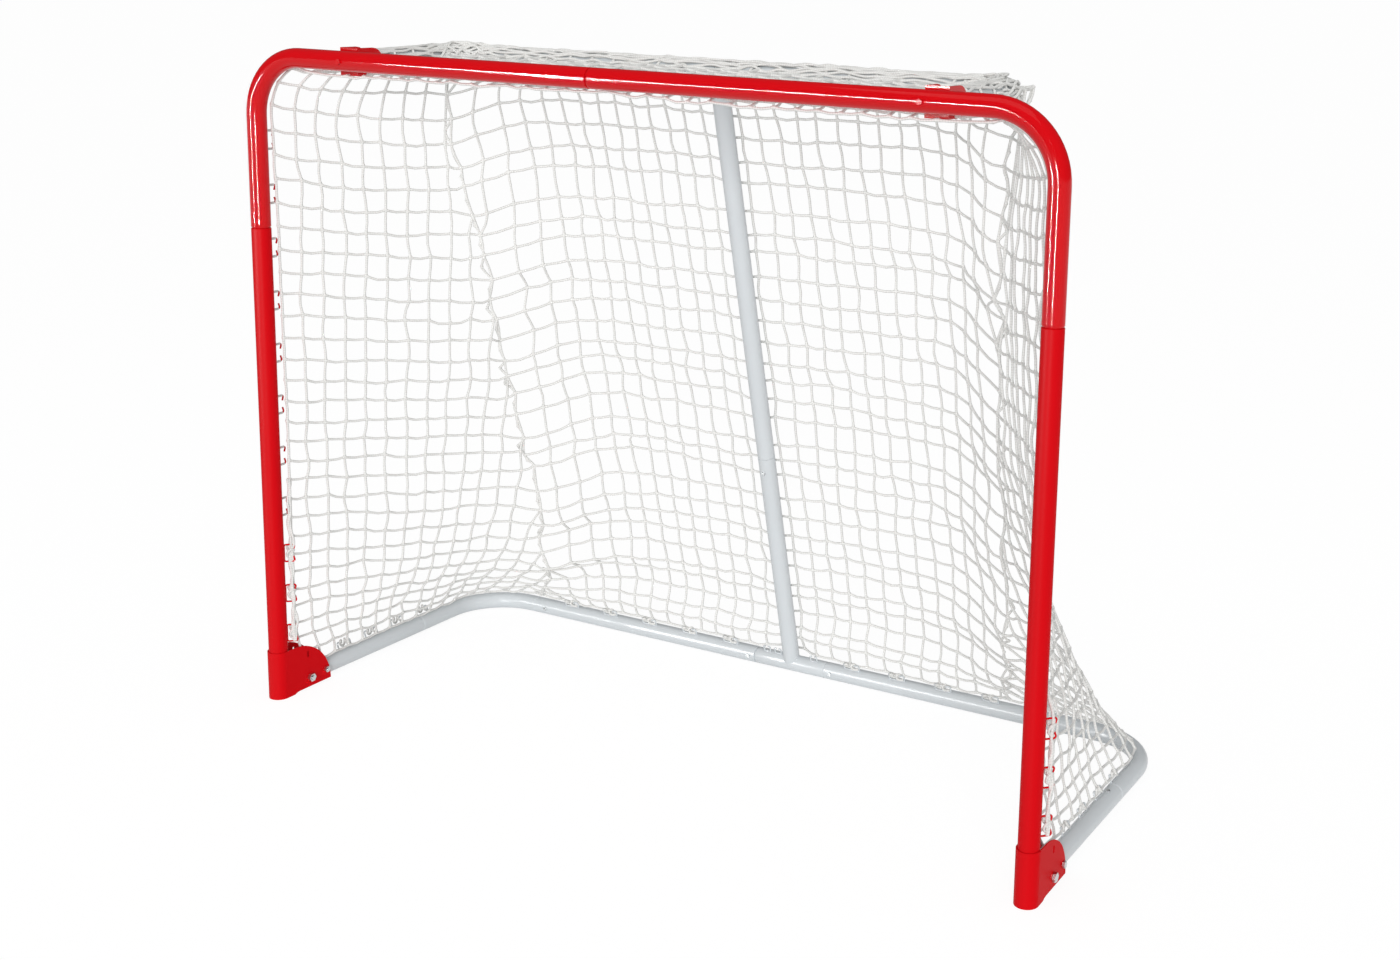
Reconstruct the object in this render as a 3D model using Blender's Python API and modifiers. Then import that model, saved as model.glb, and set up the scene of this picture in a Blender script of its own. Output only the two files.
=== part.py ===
"""Folding street hockey goal with a steel tube frame and a cord net.

Metres, +Z up, mouth towards -Y. The origin is on the floor under the middle of the goal.
"""
import math

import bmesh
import bpy
from mathutils import Matrix, Vector

# Overall sizes
MOUTH_WIDTH = 1.3716
GOAL_HEIGHT = 1.1176
BASE_REACH = 0.5004
SHELF_REACH = 0.235
FRONT_TUBE = 0.03175
REAR_TUBE = 0.030
WALL = 0.0015
GAP = 0.0003
SIDES = 16
BEND_STEPS = 6

# Front frame
FRONT_BEND = 0.097
POST_SEAM_HEIGHT = 0.820
CROSSBAR_SEAM = -0.037
NECK_LENGTH = 0.045
NECK_TAPER = 0.004

# Foot brackets, with the base frame's hinge
SHEET = 0.002
PIVOT_BEHIND = 0.053
PIVOT_HEIGHT = 0.020
PLATE_RADIUS = 0.081
PLATE_CENTRE_BEHIND = 0.020
PLATE_LIFT = 0.003
SLOT_BEHIND = 0.050
SLOT_HEIGHT = 0.0635
SLOT_WIDTH = 0.005
SLOT_LENGTH = 0.012
STOP_BEHIND = 0.090
STOP_HEIGHT = 0.022
NOTCH_FORWARD = 0.0095
PIVOT_BOLT = 0.008
STOP_BOLT = 0.006
SCREW = 0.005
RUNNING_FIT = 0.0003

# Base frame
BASE_BEND = 0.107
TUBE_PAST_PIVOT = 0.012
SIDE_SEAM_BEHIND = 0.346
REAR_SEAM = 0.578
TEE_HALF = 0.0734

# Centre bar
BAR_SEAM_UP = 0.428
KNEE_CLEARANCE = 0.0015
SADDLE_SLOPE = math.radians(35.0)

# Top shelf and its brackets
SHELF_DROP = 0.0017
SHELF_PIVOT_BEHIND = 0.050
ARM_SPREAD = 0.515
SHELF_BEND = 0.055
ARM_PAST_PIVOT = 0.016
EAR_RADIUS = 0.022
EAR_CLEARANCE = 0.001
SCREW_INSET = 0.0095

# Snap buttons
BUTTON = 0.007
BUTTON_PROUD = 0.003
BUTTON_FIT = 0.0004
BUTTON_FROM_SEAM = 0.026
LEAF_LENGTH = 0.030
LEAF_WIDTH = 0.006
LEAF_THICKNESS = 0.001
LEAF_RADIUS = 0.0095

# Net hooks
HOOK_WIRE = 0.003
HOOK_REACH = 0.014
POST_HOOK_REACH = 0.018
HOOK_LENGTH = 0.030
HOOK_CURL_SHARE = 0.3
POST_HOOK_START = 0.107
POST_HOOK_PITCH = 0.081
TURNED_HOOKS = 3
SIDE_HOOKS = 4
SIDE_HOOK_START = 0.094
SIDE_HOOK_PITCH = 0.068
REAR_HOOKS = 5
REAR_HOOK_START = 0.113
REAR_HOOK_PITCH = 0.091
BAR_HOOKS = 6
BAR_HOOK_START = 0.160
BAR_HOOK_PITCH = 0.076
BAR_HOOK_REACH = 0.010
BAR_HOOK_LENGTH = 0.015
TEE_HOOK_PLACES = (-0.055, -0.032, 0.043)
TEE_HOOK_LENGTH = 0.013
RIVET_PLACE = 0.086
RIVET_RADIUS = 0.004

# Net
CORD = 0.004
BACK_CELLS = (11, 8)
SIDE_CELLS = (5, 8)
TOP_CELLS = (11, 2)
BACK_HALF_TOP = 0.500
BACK_HALF_BOTTOM = 0.570
NET_FOOT = 0.026
SIDE_NET_BOTTOM = 0.094
SIDE_NET_TOP = 1.000
NET_BULGE = 0.020
TOP_SAG = 0.010
HANG_FORWARD = 0.085
HANG_INWARD = 0.050
CREASE_GAP = 0.012
FLARE_SHARE = 0.35

# Places that follow from the sizes
FRONT_R = FRONT_TUBE / 2
REAR_R = REAR_TUBE / 2
FLAT = math.cos(math.pi / SIDES)
NET_SEAT = REAR_R + CORD / 2 + GAP
POST_X = MOUTH_WIDTH / 2 + FRONT_R
BAR_Z = GOAL_HEIGHT - FRONT_R
SHELF_HEIGHT = BAR_Z - SHELF_DROP
BRACKET_R = FRONT_R + GAP + SHEET
DEPTH = BRACKET_R + PIVOT_BEHIND + BASE_REACH + REAR_R * FLAT
FRONT_Y = BRACKET_R - DEPTH / 2
PIVOT = Vector((0.0, FRONT_Y + PIVOT_BEHIND, PIVOT_HEIGHT))
REAR = Vector((0.0, PIVOT.y + BASE_REACH, REAR_R * FLAT))
SHELF_PIVOT = Vector((0.0, FRONT_Y + SHELF_PIVOT_BEHIND, SHELF_HEIGHT))
SHELF_REAR = Vector((0.0, SHELF_PIVOT.y + SHELF_REACH, SHELF_HEIGHT))
BAR_UP = (SHELF_REAR - REAR).normalized()
BAR_FORWARD = Vector((0.0, -BAR_UP.z, BAR_UP.y))
BAR_SEAM = REAR + BAR_UP * BAR_SEAM_UP
KNEE = BAR_SEAM - BAR_FORWARD * (REAR_R + KNEE_CLEARANCE)
X = Vector((1.0, 0.0, 0.0))
Y = Vector((0.0, 1.0, 0.0))
Z = Vector((0.0, 0.0, 1.0))


def clear_scene():
    """Remove every object of the open scene."""
    for item in list(bpy.data.objects):
        bpy.data.objects.remove(item, do_unlink=True)


def new_collection(name):
    """Add a collection to the scene."""
    collection = bpy.data.collections.new(name)
    bpy.context.scene.collection.children.link(collection)
    return collection


def new_material(name, colour, roughness, metallic):
    """Make a plain Principled material."""
    material = bpy.data.materials.new(name)
    material.use_nodes = True
    shader = material.node_tree.nodes["Principled BSDF"]
    shader.inputs["Base Color"].default_value = (*colour, 1.0)
    shader.inputs["Roughness"].default_value = roughness
    shader.inputs["Metallic"].default_value = metallic
    material.diffuse_color = (*colour, 1.0)
    return material


clear_scene()
GOAL = new_collection("street_hockey_goal")
CUTTERS = new_collection("cutters")


def new_body(name, place):
    """An empty on a joint's axis, which carries the pieces that move with it."""
    empty = bpy.data.objects.new(name, None)
    empty.location = place
    GOAL.objects.link(empty)
    return empty


def add_piece(name, mesh, material, body=None):
    """Link a mesh as a named piece, shaded smooth, under the body that carries it."""
    mesh.name = name
    mesh.materials.clear()
    mesh.materials.append(material)
    mesh.shade_smooth()
    mesh.set_sharp_from_angle(angle=math.radians(35.0))
    piece = bpy.data.objects.new(name, mesh)
    GOAL.objects.link(piece)
    if body:
        piece.parent = body
        piece.matrix_parent_inverse = Matrix.Translation(body.location).inverted()
    return piece


def add_cutter(mesh):
    """Link a mesh as a hidden cutter."""
    cutter = bpy.data.objects.new("cutter", mesh)
    cutter.display_type = "WIRE"
    cutter.hide_render = True
    CUTTERS.objects.link(cutter)
    return cutter


def cut(piece, mesh, operation="DIFFERENCE"):
    """Cut a piece with a mesh, or join or intersect the two."""
    modifier = piece.modifiers.new(operation.lower(), "BOOLEAN")
    modifier.operation = operation
    modifier.solver = "EXACT"
    modifier.object = add_cutter(mesh)


def hollow(piece):
    """Give a swept skin the tube's wall, inwards."""
    modifier = piece.modifiers.new("wall", "SOLIDIFY")
    modifier.thickness = WALL
    modifier.offset = -1.0
    modifier.use_even_offset = True


def swept_mesh(points, radii, sides, capped):
    """Mesh of a round skin along a line of points, with one radius for each point."""
    curve = bpy.data.curves.new("sweep", "CURVE")
    curve.dimensions = "3D"
    curve.bevel_depth = 1.0
    curve.bevel_resolution = sides // 2 - 2
    curve.use_fill_caps = capped
    spline = curve.splines.new("POLY")
    spline.points.add(len(points) - 1)
    for point, place, radius in zip(spline.points, points, radii):
        point.co = (*place, 1.0)
        point.radius = radius
        point.tilt = math.pi / sides
    holder = bpy.data.objects.new("sweep", curve)
    bpy.context.scene.collection.objects.link(holder)
    depsgraph = bpy.context.evaluated_depsgraph_get()
    mesh = bpy.data.meshes.new_from_object(holder.evaluated_get(depsgraph))
    bpy.data.objects.remove(holder)
    bm = bmesh.new()
    bm.from_mesh(mesh)
    bmesh.ops.remove_doubles(bm, verts=bm.verts, dist=0.00001)
    bmesh.ops.recalc_face_normals(bm, faces=bm.faces)
    bm.to_mesh(mesh)
    bm.free()
    return mesh


def rod_mesh(start, end, radius, sides=12):
    """Mesh of a closed round or many-sided rod between two points."""
    along = end - start
    bm = bmesh.new()
    bmesh.ops.create_cone(
        bm, cap_ends=True, segments=sides, radius1=radius, radius2=radius, depth=along.length
    )
    turn = Z.rotation_difference(along).to_matrix().to_4x4()
    bm.transform(Matrix.Translation((start + end) / 2) @ turn)
    mesh = bpy.data.meshes.new("rod")
    bm.to_mesh(mesh)
    bm.free()
    return mesh


def box_mesh(low, high, turn=None):
    """Mesh of a box between two corners, turned and placed by a matrix if one is given."""
    bm = bmesh.new()
    bmesh.ops.create_cube(bm, size=1.0)
    size = high - low
    bm.transform(Matrix.Translation((low + high) / 2) @ Matrix.Diagonal((*size, 1.0)))
    if turn:
        bm.transform(turn)
    mesh = bpy.data.meshes.new("box")
    bm.to_mesh(mesh)
    bm.free()
    return mesh


def plate_mesh(outline, thickness, turn):
    """Mesh of a flat outline, extruded both ways by half its thickness and placed by a matrix."""
    curve = bpy.data.curves.new("plate", "CURVE")
    curve.dimensions = "2D"
    curve.fill_mode = "BOTH"
    curve.extrude = thickness / 2
    spline = curve.splines.new("POLY")
    spline.points.add(len(outline) - 1)
    for point, (across, up) in zip(spline.points, outline):
        point.co = (across, up, 0.0, 1.0)
    spline.use_cyclic_u = True
    holder = bpy.data.objects.new("plate", curve)
    bpy.context.scene.collection.objects.link(holder)
    depsgraph = bpy.context.evaluated_depsgraph_get()
    mesh = bpy.data.meshes.new_from_object(holder.evaluated_get(depsgraph))
    bpy.data.objects.remove(holder)
    bm = bmesh.new()
    bm.from_mesh(mesh)
    bmesh.ops.remove_doubles(bm, verts=bm.verts, dist=0.00001)
    bmesh.ops.recalc_face_normals(bm, faces=bm.faces)
    bm.transform(turn)
    bm.to_mesh(mesh)
    bm.free()
    return mesh


def arc(centre, radius, start, end, steps):
    """Points of an arc in a plane, from one angle to another in degrees."""
    angles = [math.radians(start + (end - start) * step / steps) for step in range(steps + 1)]
    return [(centre[0] + radius * math.cos(a), centre[1] + radius * math.sin(a)) for a in angles]


def rounded_path(corners, radius):
    """Points of a path whose inner corners are bent to a radius."""
    path = [corners[0]]
    for before, corner, after in zip(corners, corners[1:], corners[2:]):
        into = (corner - before).normalized()
        out = (after - corner).normalized()
        turn = into.angle(out)
        start = corner - into * radius * math.tan(turn / 2)
        axis = into.cross(out).normalized()
        spoke = -axis.cross(into) * radius
        for step in range(BEND_STEPS + 1):
            path.append(start - spoke + Matrix.Rotation(turn * step / BEND_STEPS, 3, axis) @ spoke)
    path.append(corners[-1])
    return path


def neck_radius(outer):
    """Radius of a reduced tube end that slides into a tube of the given outer radius."""
    return outer * FLAT - WALL - GAP


def add_neck(path, radii):
    """Reduce the last stretch of a tube and run it on past the seam."""
    seam = path[-1]
    along = (seam - path[-2]).normalized()
    neck = neck_radius(radii[-1])
    path[-1] = seam - along * NECK_TAPER
    path += [seam, seam + along * NECK_LENGTH]
    radii += [neck, neck]


def add_tube(name, corners, bend, outer, material, body=None, necks=(False, False)):
    """A hollow round tube along a bent path, with a reduced neck at either end if asked for."""
    path = rounded_path(corners, bend)
    radii = [outer] * len(path)
    if necks[1]:
        add_neck(path, radii)
    if necks[0]:
        path.reverse()
        radii.reverse()
        add_neck(path, radii)
        path.reverse()
        radii.reverse()
    tube = add_piece(name, swept_mesh(path, radii, SIDES, False), material, body)
    hollow(tube)
    return tube


def add_bolt(name, under_head, along, grip, diameter):
    """A hex bolt and its nut, gripping a stack of plates; along points from head to nut."""
    head_height = 0.65 * diameter
    nut_height = 0.8 * diameter
    hex_radius = 0.92 * diameter
    seat = under_head - along * GAP
    nut_seat = under_head + along * (grip + GAP)
    tip = nut_seat + along * (nut_height + diameter / 4)
    bolt = add_piece(name, rod_mesh(seat - along * head_height / 2, tip, diameter / 2), STEEL)
    cut(bolt, rod_mesh(seat - along * head_height, seat, hex_radius, 6), "UNION")
    nut_end = nut_seat + along * nut_height
    nut = add_piece(name + "_nut", rod_mesh(nut_seat, nut_end, hex_radius, 6), STEEL)
    bore = diameter / 2 + RUNNING_FIT
    cut(nut, rod_mesh(nut_seat - along * diameter, nut_end + along * diameter, bore))


def hook_mesh(foot, along, out, reach, length):
    """A wire hook like an open bracket: a welded back and two prongs whose ends curl in."""
    back_end = foot + along * length
    curl = along * length * HOOK_CURL_SHARE
    points = [
        foot + curl + out * (reach - HOOK_WIRE),
        foot + out * reach,
        foot,
        back_end,
        back_end + out * reach,
        back_end - curl + out * (reach - HOOK_WIRE),
    ]
    return swept_mesh(points, [HOOK_WIRE / 2] * len(points), 4, True)


def facet_normal(out, along, steps):
    """The direction that is a number of facets round a tube from a given one."""
    return Matrix.Rotation(steps * 2 * math.pi / SIDES, 3, along) @ out


RED = new_material("red_enamel", (0.72, 0.013, 0.02), 0.25, 0.0)
GREY = new_material("grey_enamel", (0.60, 0.62, 0.64), 0.35, 0.0)
STEEL = new_material("zinc_steel", (0.60, 0.60, 0.60), 0.3, 1.0)
CORD_WHITE = new_material("net_cord", (0.82, 0.82, 0.80), 0.85, 0.0)

BASE_BODY = new_body("base_frame_hinge", PIVOT)
LOWER_BAR_BODY = new_body("tee_hinge", REAR)
UPPER_BAR_BODY = new_body("bar_knee", KNEE)
SHELF_BODY = new_body("shelf_hinge", SHELF_PIVOT)


def button_hole(piece, place, out):
    """Cut a snap button's hole through one wall of a tube."""
    radius = BUTTON / 2 + BUTTON_FIT
    cut(piece, rod_mesh(place + out * LEAF_RADIUS / 2, place + out * 2 * FRONT_TUBE, radius))


def add_button(name, place, out, along, outer, body):
    """A sprung button: a domed pin that stands out of the tube, on a leaf inside it."""
    empty = new_body(name + "_slide", place)
    if body:
        empty.parent = body
        empty.matrix_parent_inverse = Matrix.Translation(body.location).inverted()
    across = out.cross(along)
    frame = Matrix((across, along, out)).transposed().to_4x4()
    turn = Matrix.Translation(place) @ frame
    leaf_low = Vector((-LEAF_WIDTH / 2, -LEAF_LENGTH / 2, LEAF_RADIUS - LEAF_THICKNESS / 2))
    leaf_high = Vector((LEAF_WIDTH / 2, LEAF_LENGTH / 2, LEAF_RADIUS + LEAF_THICKNESS / 2))
    top = outer + BUTTON_PROUD
    points = [place + out * LEAF_RADIUS, place + out * (top - BUTTON / 5), place + out * top]
    radii = [BUTTON / 2, BUTTON / 2, BUTTON / 4]
    button = add_piece(name, swept_mesh(points, radii, 12, True), STEEL)
    cut(button, box_mesh(leaf_low, leaf_high, turn), "UNION")
    button.parent = empty
    button.matrix_parent_inverse = Matrix.Translation(place).inverted()
    return button


def build_front_frame():
    """The red hoop: two crossbar halves, which turn down at the corners, on two posts."""
    seam = Vector((CROSSBAR_SEAM, FRONT_Y, BAR_Z))
    halves = {}
    for side, sign in (("left", -1), ("right", 1)):
        corner = Vector((sign * POST_X, FRONT_Y, BAR_Z))
        foot = Vector((sign * POST_X, FRONT_Y, POST_SEAM_HEIGHT))
        halves[side] = add_tube(
            "crossbar_" + side, [seam, corner, foot], FRONT_BEND, FRONT_R, RED,
            necks=(side == "right", True),
        )
        post = add_tube("post_" + side, [foot - Z * POST_SEAM_HEIGHT, foot], 0.0, FRONT_R, RED)
        place = foot - Z * BUTTON_FROM_SEAM
        button_hole(post, place, Y)
        button_hole(halves[side], place, Y)
        add_button("post_button_" + side, place, Y, Z, FRONT_R, None)
        screw = Vector((sign * (ARM_SPREAD - SCREW_INSET), FRONT_Y, BAR_Z))
        hole = SCREW / 2 + RUNNING_FIT
        cut(halves[side], rod_mesh(screw - Y * FRONT_TUBE, screw + Y * FRONT_TUBE, hole))
    place = seam - X * BUTTON_FROM_SEAM
    button_hole(halves["left"], place, Y)
    button_hole(halves["right"], place, Y)
    add_button("crossbar_button", place, Y, X, FRONT_R, None)


def build_foot_brackets():
    """A bent plate round each post's foot, whose two quarter-round cheeks carry the base frame."""
    inner = FRONT_R + GAP
    tail = PLATE_CENTRE_BEHIND + PLATE_RADIUS
    wrap = arc((0.0, 0.0), BRACKET_R, 180, 360, 12) + [(BRACKET_R, tail), (inner, tail)]
    wrap += arc((0.0, 0.0), inner, 360, 180, 12) + [(-inner, tail), (-BRACKET_R, tail)]
    profile = [(-2 * BRACKET_R, 0.0), (PLATE_CENTRE_BEHIND, 0.0)]
    profile += [(PLATE_CENTRE_BEHIND + PLATE_LIFT, PLATE_LIFT), (tail - PLATE_LIFT, PLATE_LIFT)]
    profile += arc((PLATE_CENTRE_BEHIND, PLATE_LIFT), PLATE_RADIUS, 3, 90, 10)
    profile += [(-2 * BRACKET_R, PLATE_LIFT + PLATE_RADIUS)]
    sideways = Matrix((Y, Z, X)).transposed().to_4x4()
    for side, sign in (("left", -1), ("right", 1)):
        place = Vector((sign * POST_X, FRONT_Y, 0.0))
        middle = Matrix.Translation(place)
        height = 2 * (PLATE_LIFT + PLATE_RADIUS)
        bracket = add_piece("foot_bracket_" + side, plate_mesh(wrap, height, middle), RED)
        cut(bracket, plate_mesh(profile, 4 * BRACKET_R, middle @ sideways), "INTERSECT")
        through = X * 2 * BRACKET_R
        pivot = place + Y * PIVOT_BEHIND + Z * PIVOT_HEIGHT
        stop = place + Y * STOP_BEHIND + Z * STOP_HEIGHT
        cut(bracket, rod_mesh(pivot - through, pivot + through, PIVOT_BOLT / 2 + RUNNING_FIT))
        cut(bracket, rod_mesh(stop - through, stop + through, STOP_BOLT / 2 + RUNNING_FIT))
        half = (SLOT_LENGTH - SLOT_WIDTH) / 2
        slot = arc((SLOT_BEHIND, SLOT_HEIGHT + half), SLOT_WIDTH / 2, 0, 180, 6)
        slot += arc((SLOT_BEHIND, SLOT_HEIGHT - half), SLOT_WIDTH / 2, 180, 360, 6)
        cut(bracket, plate_mesh(slot, 4 * BRACKET_R, middle @ sideways))
        outside = X * sign * BRACKET_R
        grip = 2 * BRACKET_R
        add_bolt("base_pivot_bolt_" + side, pivot + outside, -X * sign, grip, PIVOT_BOLT)
        add_bolt("base_stop_bolt_" + side, stop + outside, -X * sign, grip, STOP_BOLT)


def build_base_frame():
    """The grey U on the floor: side tubes, bent corners and a rear tube in two lengths."""
    slope = (REAR - PIVOT).normalized()
    seam_share = (SIDE_SEAM_BEHIND - PIVOT_BEHIND) / BASE_REACH
    for side, sign in (("left", -1), ("right", 1)):
        across = X * sign * POST_X
        pivot = PIVOT + across
        front = pivot - slope * TUBE_PAST_PIVOT
        seam = pivot + (REAR - PIVOT) * seam_share
        tube = add_tube("side_tube_" + side, [front, seam], 0.0, REAR_R, GREY, BASE_BODY)
        hole = PIVOT_BOLT / 2 + RUNNING_FIT
        cut(tube, rod_mesh(pivot - X * REAR_TUBE, pivot + X * REAR_TUBE, hole))
        stop = Vector((pivot.x, FRONT_Y + STOP_BEHIND, STOP_HEIGHT))
        low = stop - X * REAR_TUBE - Y * NOTCH_FORWARD - Z * REAR_TUBE
        high = stop + X * REAR_TUBE + Y * (STOP_BOLT / 2 + 4 * GAP) + Z * (STOP_BOLT / 2 + 2 * GAP)
        cut(tube, box_mesh(low, high))
        corner = REAR + across
        rear_seam = REAR + X * sign * REAR_SEAM
        bend = add_tube(
            "corner_tube_" + side, [seam, corner, rear_seam], BASE_BEND, REAR_R, GREY, BASE_BODY,
            necks=(True, True),
        )
        tee_seam = REAR + X * sign * TEE_HALF
        rear = add_tube("rear_tube_" + side, [rear_seam, tee_seam], 0.0, REAR_R, GREY, BASE_BODY)
        place = seam - slope * BUTTON_FROM_SEAM
        top = X.cross(slope).normalized()
        button_hole(tube, place, top)
        button_hole(bend, place, top)
        add_button("side_button_" + side, place, top, slope, REAR_R, BASE_BODY)
        place = rear_seam - X * sign * BUTTON_FROM_SEAM
        button_hole(rear, place, -Y)
        button_hole(bend, place, -Y)
        add_button("rear_button_" + side, place, -Y, X, REAR_R, BASE_BODY)
        rivet = REAR + X * sign * RIVET_PLACE - Y * REAR_R * FLAT
        head = rod_mesh(rivet - Y * (GAP + RIVET_RADIUS / 3), rivet - Y * GAP, RIVET_RADIUS)
        add_piece("rear_rivet_" + side, head, STEEL, BASE_BODY)


def build_centre_bar():
    """The sloping bar in two lengths; its tee turns inside the rear tube's two halves."""
    reach = X * (TEE_HALF + NECK_LENGTH)
    neck = neck_radius(REAR_R)
    path = [-reach, -X * TEE_HALF, -X * (TEE_HALF - NECK_TAPER)]
    path += [-place for place in reversed(path)]
    radii = [neck, neck, REAR_R, REAR_R, neck, neck]
    points = [REAR + place for place in path]
    tee = add_piece("tee_sleeve", swept_mesh(points, radii, SIDES, False), GREY, LOWER_BAR_BODY)
    hollow(tee)
    saddle = REAR_R + GAP
    lower = add_tube("centre_bar_lower", [REAR, BAR_SEAM], 0.0, REAR_R, GREY, LOWER_BAR_BODY)
    cut(lower, rod_mesh(REAR - X * REAR_TUBE, REAR + X * REAR_TUBE, saddle, SIDES))
    place = BAR_SEAM - BAR_UP * BUTTON_FROM_SEAM
    button_hole(lower, place, BAR_FORWARD)
    add_button("bar_button", place, BAR_FORWARD, BAR_UP, REAR_R, LOWER_BAR_BODY)
    start = BAR_SEAM + BAR_UP * GAP
    upper = add_tube("centre_bar_upper", [start, SHELF_REAR], 0.0, REAR_R, GREY, UPPER_BAR_BODY)
    cut(upper, rod_mesh(SHELF_REAR - X * REAR_TUBE, SHELF_REAR + X * REAR_TUBE, saddle, SIDES))
    down = Matrix.Rotation(-SADDLE_SLOPE, 3, X) @ -BAR_UP
    forward = down.cross(X)
    frame = Matrix((X, forward, down)).transposed().to_4x4()
    low = Vector((-REAR_TUBE, 0.0, -REAR_TUBE))
    high = Vector((REAR_TUBE, 2 * REAR_TUBE, saddle))
    cut(upper, box_mesh(low, high, Matrix.Translation(SHELF_REAR) @ frame))


def build_shelf():
    """The grey U at the top, which holds the net up and back; it hinges behind the crossbar."""
    middle = SHELF_REAR
    for side, sign in (("left", -1), ("right", 1)):
        across = X * sign * ARM_SPREAD
        front = SHELF_PIVOT + across - Y * ARM_PAST_PIVOT
        arm = add_tube(
            "shelf_tube_" + side, [middle, SHELF_REAR + across, front], SHELF_BEND, REAR_R, GREY,
            SHELF_BODY, necks=(side == "right", False),
        )
        pivot = SHELF_PIVOT + across
        hole = PIVOT_BOLT / 2 + RUNNING_FIT
        cut(arm, rod_mesh(pivot - X * REAR_TUBE, pivot + X * REAR_TUBE, hole))


def build_top_brackets():
    """A small bent bracket behind the crossbar for each arm of the shelf."""
    web_behind = FRONT_R + GAP
    inner = REAR_R + EAR_CLEARANCE
    outer = inner + SHEET
    tail = SHELF_PIVOT_BEHIND + EAR_RADIUS
    plan = [(-outer, web_behind), (outer, web_behind), (outer, tail), (inner, tail)]
    plan += [(inner, web_behind + SHEET), (-inner, web_behind + SHEET), (-inner, tail)]
    plan += [(-outer, tail)]
    profile = arc((SHELF_PIVOT_BEHIND, SHELF_HEIGHT), EAR_RADIUS, -90, 90, 10)
    profile += [(0.0, SHELF_HEIGHT + EAR_RADIUS), (0.0, SHELF_HEIGHT - EAR_RADIUS)]
    sideways = Matrix((Y, Z, X)).transposed().to_4x4()
    for side, sign in (("left", -1), ("right", 1)):
        place = Vector((sign * ARM_SPREAD, FRONT_Y, 0.0))
        middle = Matrix.Translation(place)
        raised = Matrix.Translation(place + Z * SHELF_HEIGHT)
        bracket = add_piece("top_bracket_" + side, plate_mesh(plan, 4 * EAR_RADIUS, raised), RED)
        cut(bracket, plate_mesh(profile, 4 * outer, middle @ sideways), "INTERSECT")
        through = X * 2 * outer
        pivot = SHELF_PIVOT + X * sign * ARM_SPREAD
        cut(bracket, rod_mesh(pivot - through, pivot + through, PIVOT_BOLT / 2 + RUNNING_FIT))
        screw = Vector((sign * (ARM_SPREAD - SCREW_INSET), FRONT_Y, BAR_Z))
        hole = SCREW / 2 + RUNNING_FIT
        cut(bracket, rod_mesh(screw, screw + Y * 2 * FRONT_TUBE, hole))
        outside = X * sign * outer
        add_bolt("shelf_bolt_" + side, pivot + outside, -X * sign, 2 * outer, PIVOT_BOLT)
        grip = FRONT_R * FLAT + web_behind + SHEET
        add_bolt("bracket_screw_" + side, screw - Y * FRONT_R * FLAT, Y, grip, SCREW)


def weld_hooks(piece, feet, along, out, reach, length):
    """Weld a row of wire hooks to a tube, one at each foot."""
    for foot in feet:
        cut(piece, hook_mesh(foot, along, out, reach, length), "UNION")


def build_hooks():
    """Wire hooks that carry the net, welded to the posts, the crossbar and the base frame."""
    post_seat = FRONT_R * FLAT
    rear_seat = REAR_R * FLAT
    slope = (REAR - PIVOT).normalized()
    side_seam = SIDE_SEAM_BEHIND - PIVOT_BEHIND
    pieces = bpy.data.objects
    for side, sign in (("left", -1), ("right", 1)):
        across = X * sign * POST_X
        outward = X * sign
        inner = facet_normal(Y, Z, 2 * sign)
        foot = across + Y * FRONT_Y + Z * POST_HOOK_START
        room = BAR_Z - FRONT_BEND - HOOK_LENGTH - POST_HOOK_START
        count = 1 + int(room / POST_HOOK_PITCH)
        for place in range(count):
            out = facet_normal(Y, Z, -2) if place < TURNED_HOOKS else inner
            hook = foot + Z * POST_HOOK_PITCH * place + out * post_seat
            if hook.z + HOOK_LENGTH + HOOK_WIRE < POST_SEAM_HEIGHT:
                weld_hooks(pieces["post_" + side], [hook], Z, out, POST_HOOK_REACH, HOOK_LENGTH)
            elif hook.z > POST_SEAM_HEIGHT + NECK_TAPER:
                weld_hooks(pieces["crossbar_" + side], [hook], Z, out, POST_HOOK_REACH, HOOK_LENGTH)
        out = facet_normal(-Z, X, 2)
        start = Vector((sign * BAR_HOOK_START, FRONT_Y, BAR_Z)) + out * post_seat
        feet = [start + outward * BAR_HOOK_PITCH * count for count in range(BAR_HOOKS)]
        weld_hooks(pieces["crossbar_" + side], feet, outward, out, BAR_HOOK_REACH, BAR_HOOK_LENGTH)
        out = facet_normal(Z, slope, -1)
        start = PIVOT + across + out * rear_seat + slope * SIDE_HOOK_START
        feet = [start + slope * SIDE_HOOK_PITCH * count for count in range(SIDE_HOOKS)]
        on_tube = [foot for foot in feet if foot.y < PIVOT.y + side_seam - HOOK_LENGTH]
        on_bend = [foot for foot in feet if foot.y > PIVOT.y + side_seam]
        weld_hooks(pieces["side_tube_" + side], on_tube, slope, out, HOOK_REACH, HOOK_LENGTH)
        weld_hooks(pieces["corner_tube_" + side], on_bend, slope, out, HOOK_REACH, HOOK_LENGTH)
        out = facet_normal(Z, X, 1)
        start = REAR + outward * REAR_HOOK_START + out * rear_seat
        feet = [start + outward * REAR_HOOK_PITCH * count for count in range(REAR_HOOKS)]
        weld_hooks(pieces["rear_tube_" + side], feet, outward, out, HOOK_REACH, HOOK_LENGTH)
    feet = [REAR + X * place + out * rear_seat for place in TEE_HOOK_PLACES]
    weld_hooks(pieces["tee_sleeve"], feet, X, out, HOOK_REACH, TEE_HOOK_LENGTH)


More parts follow.
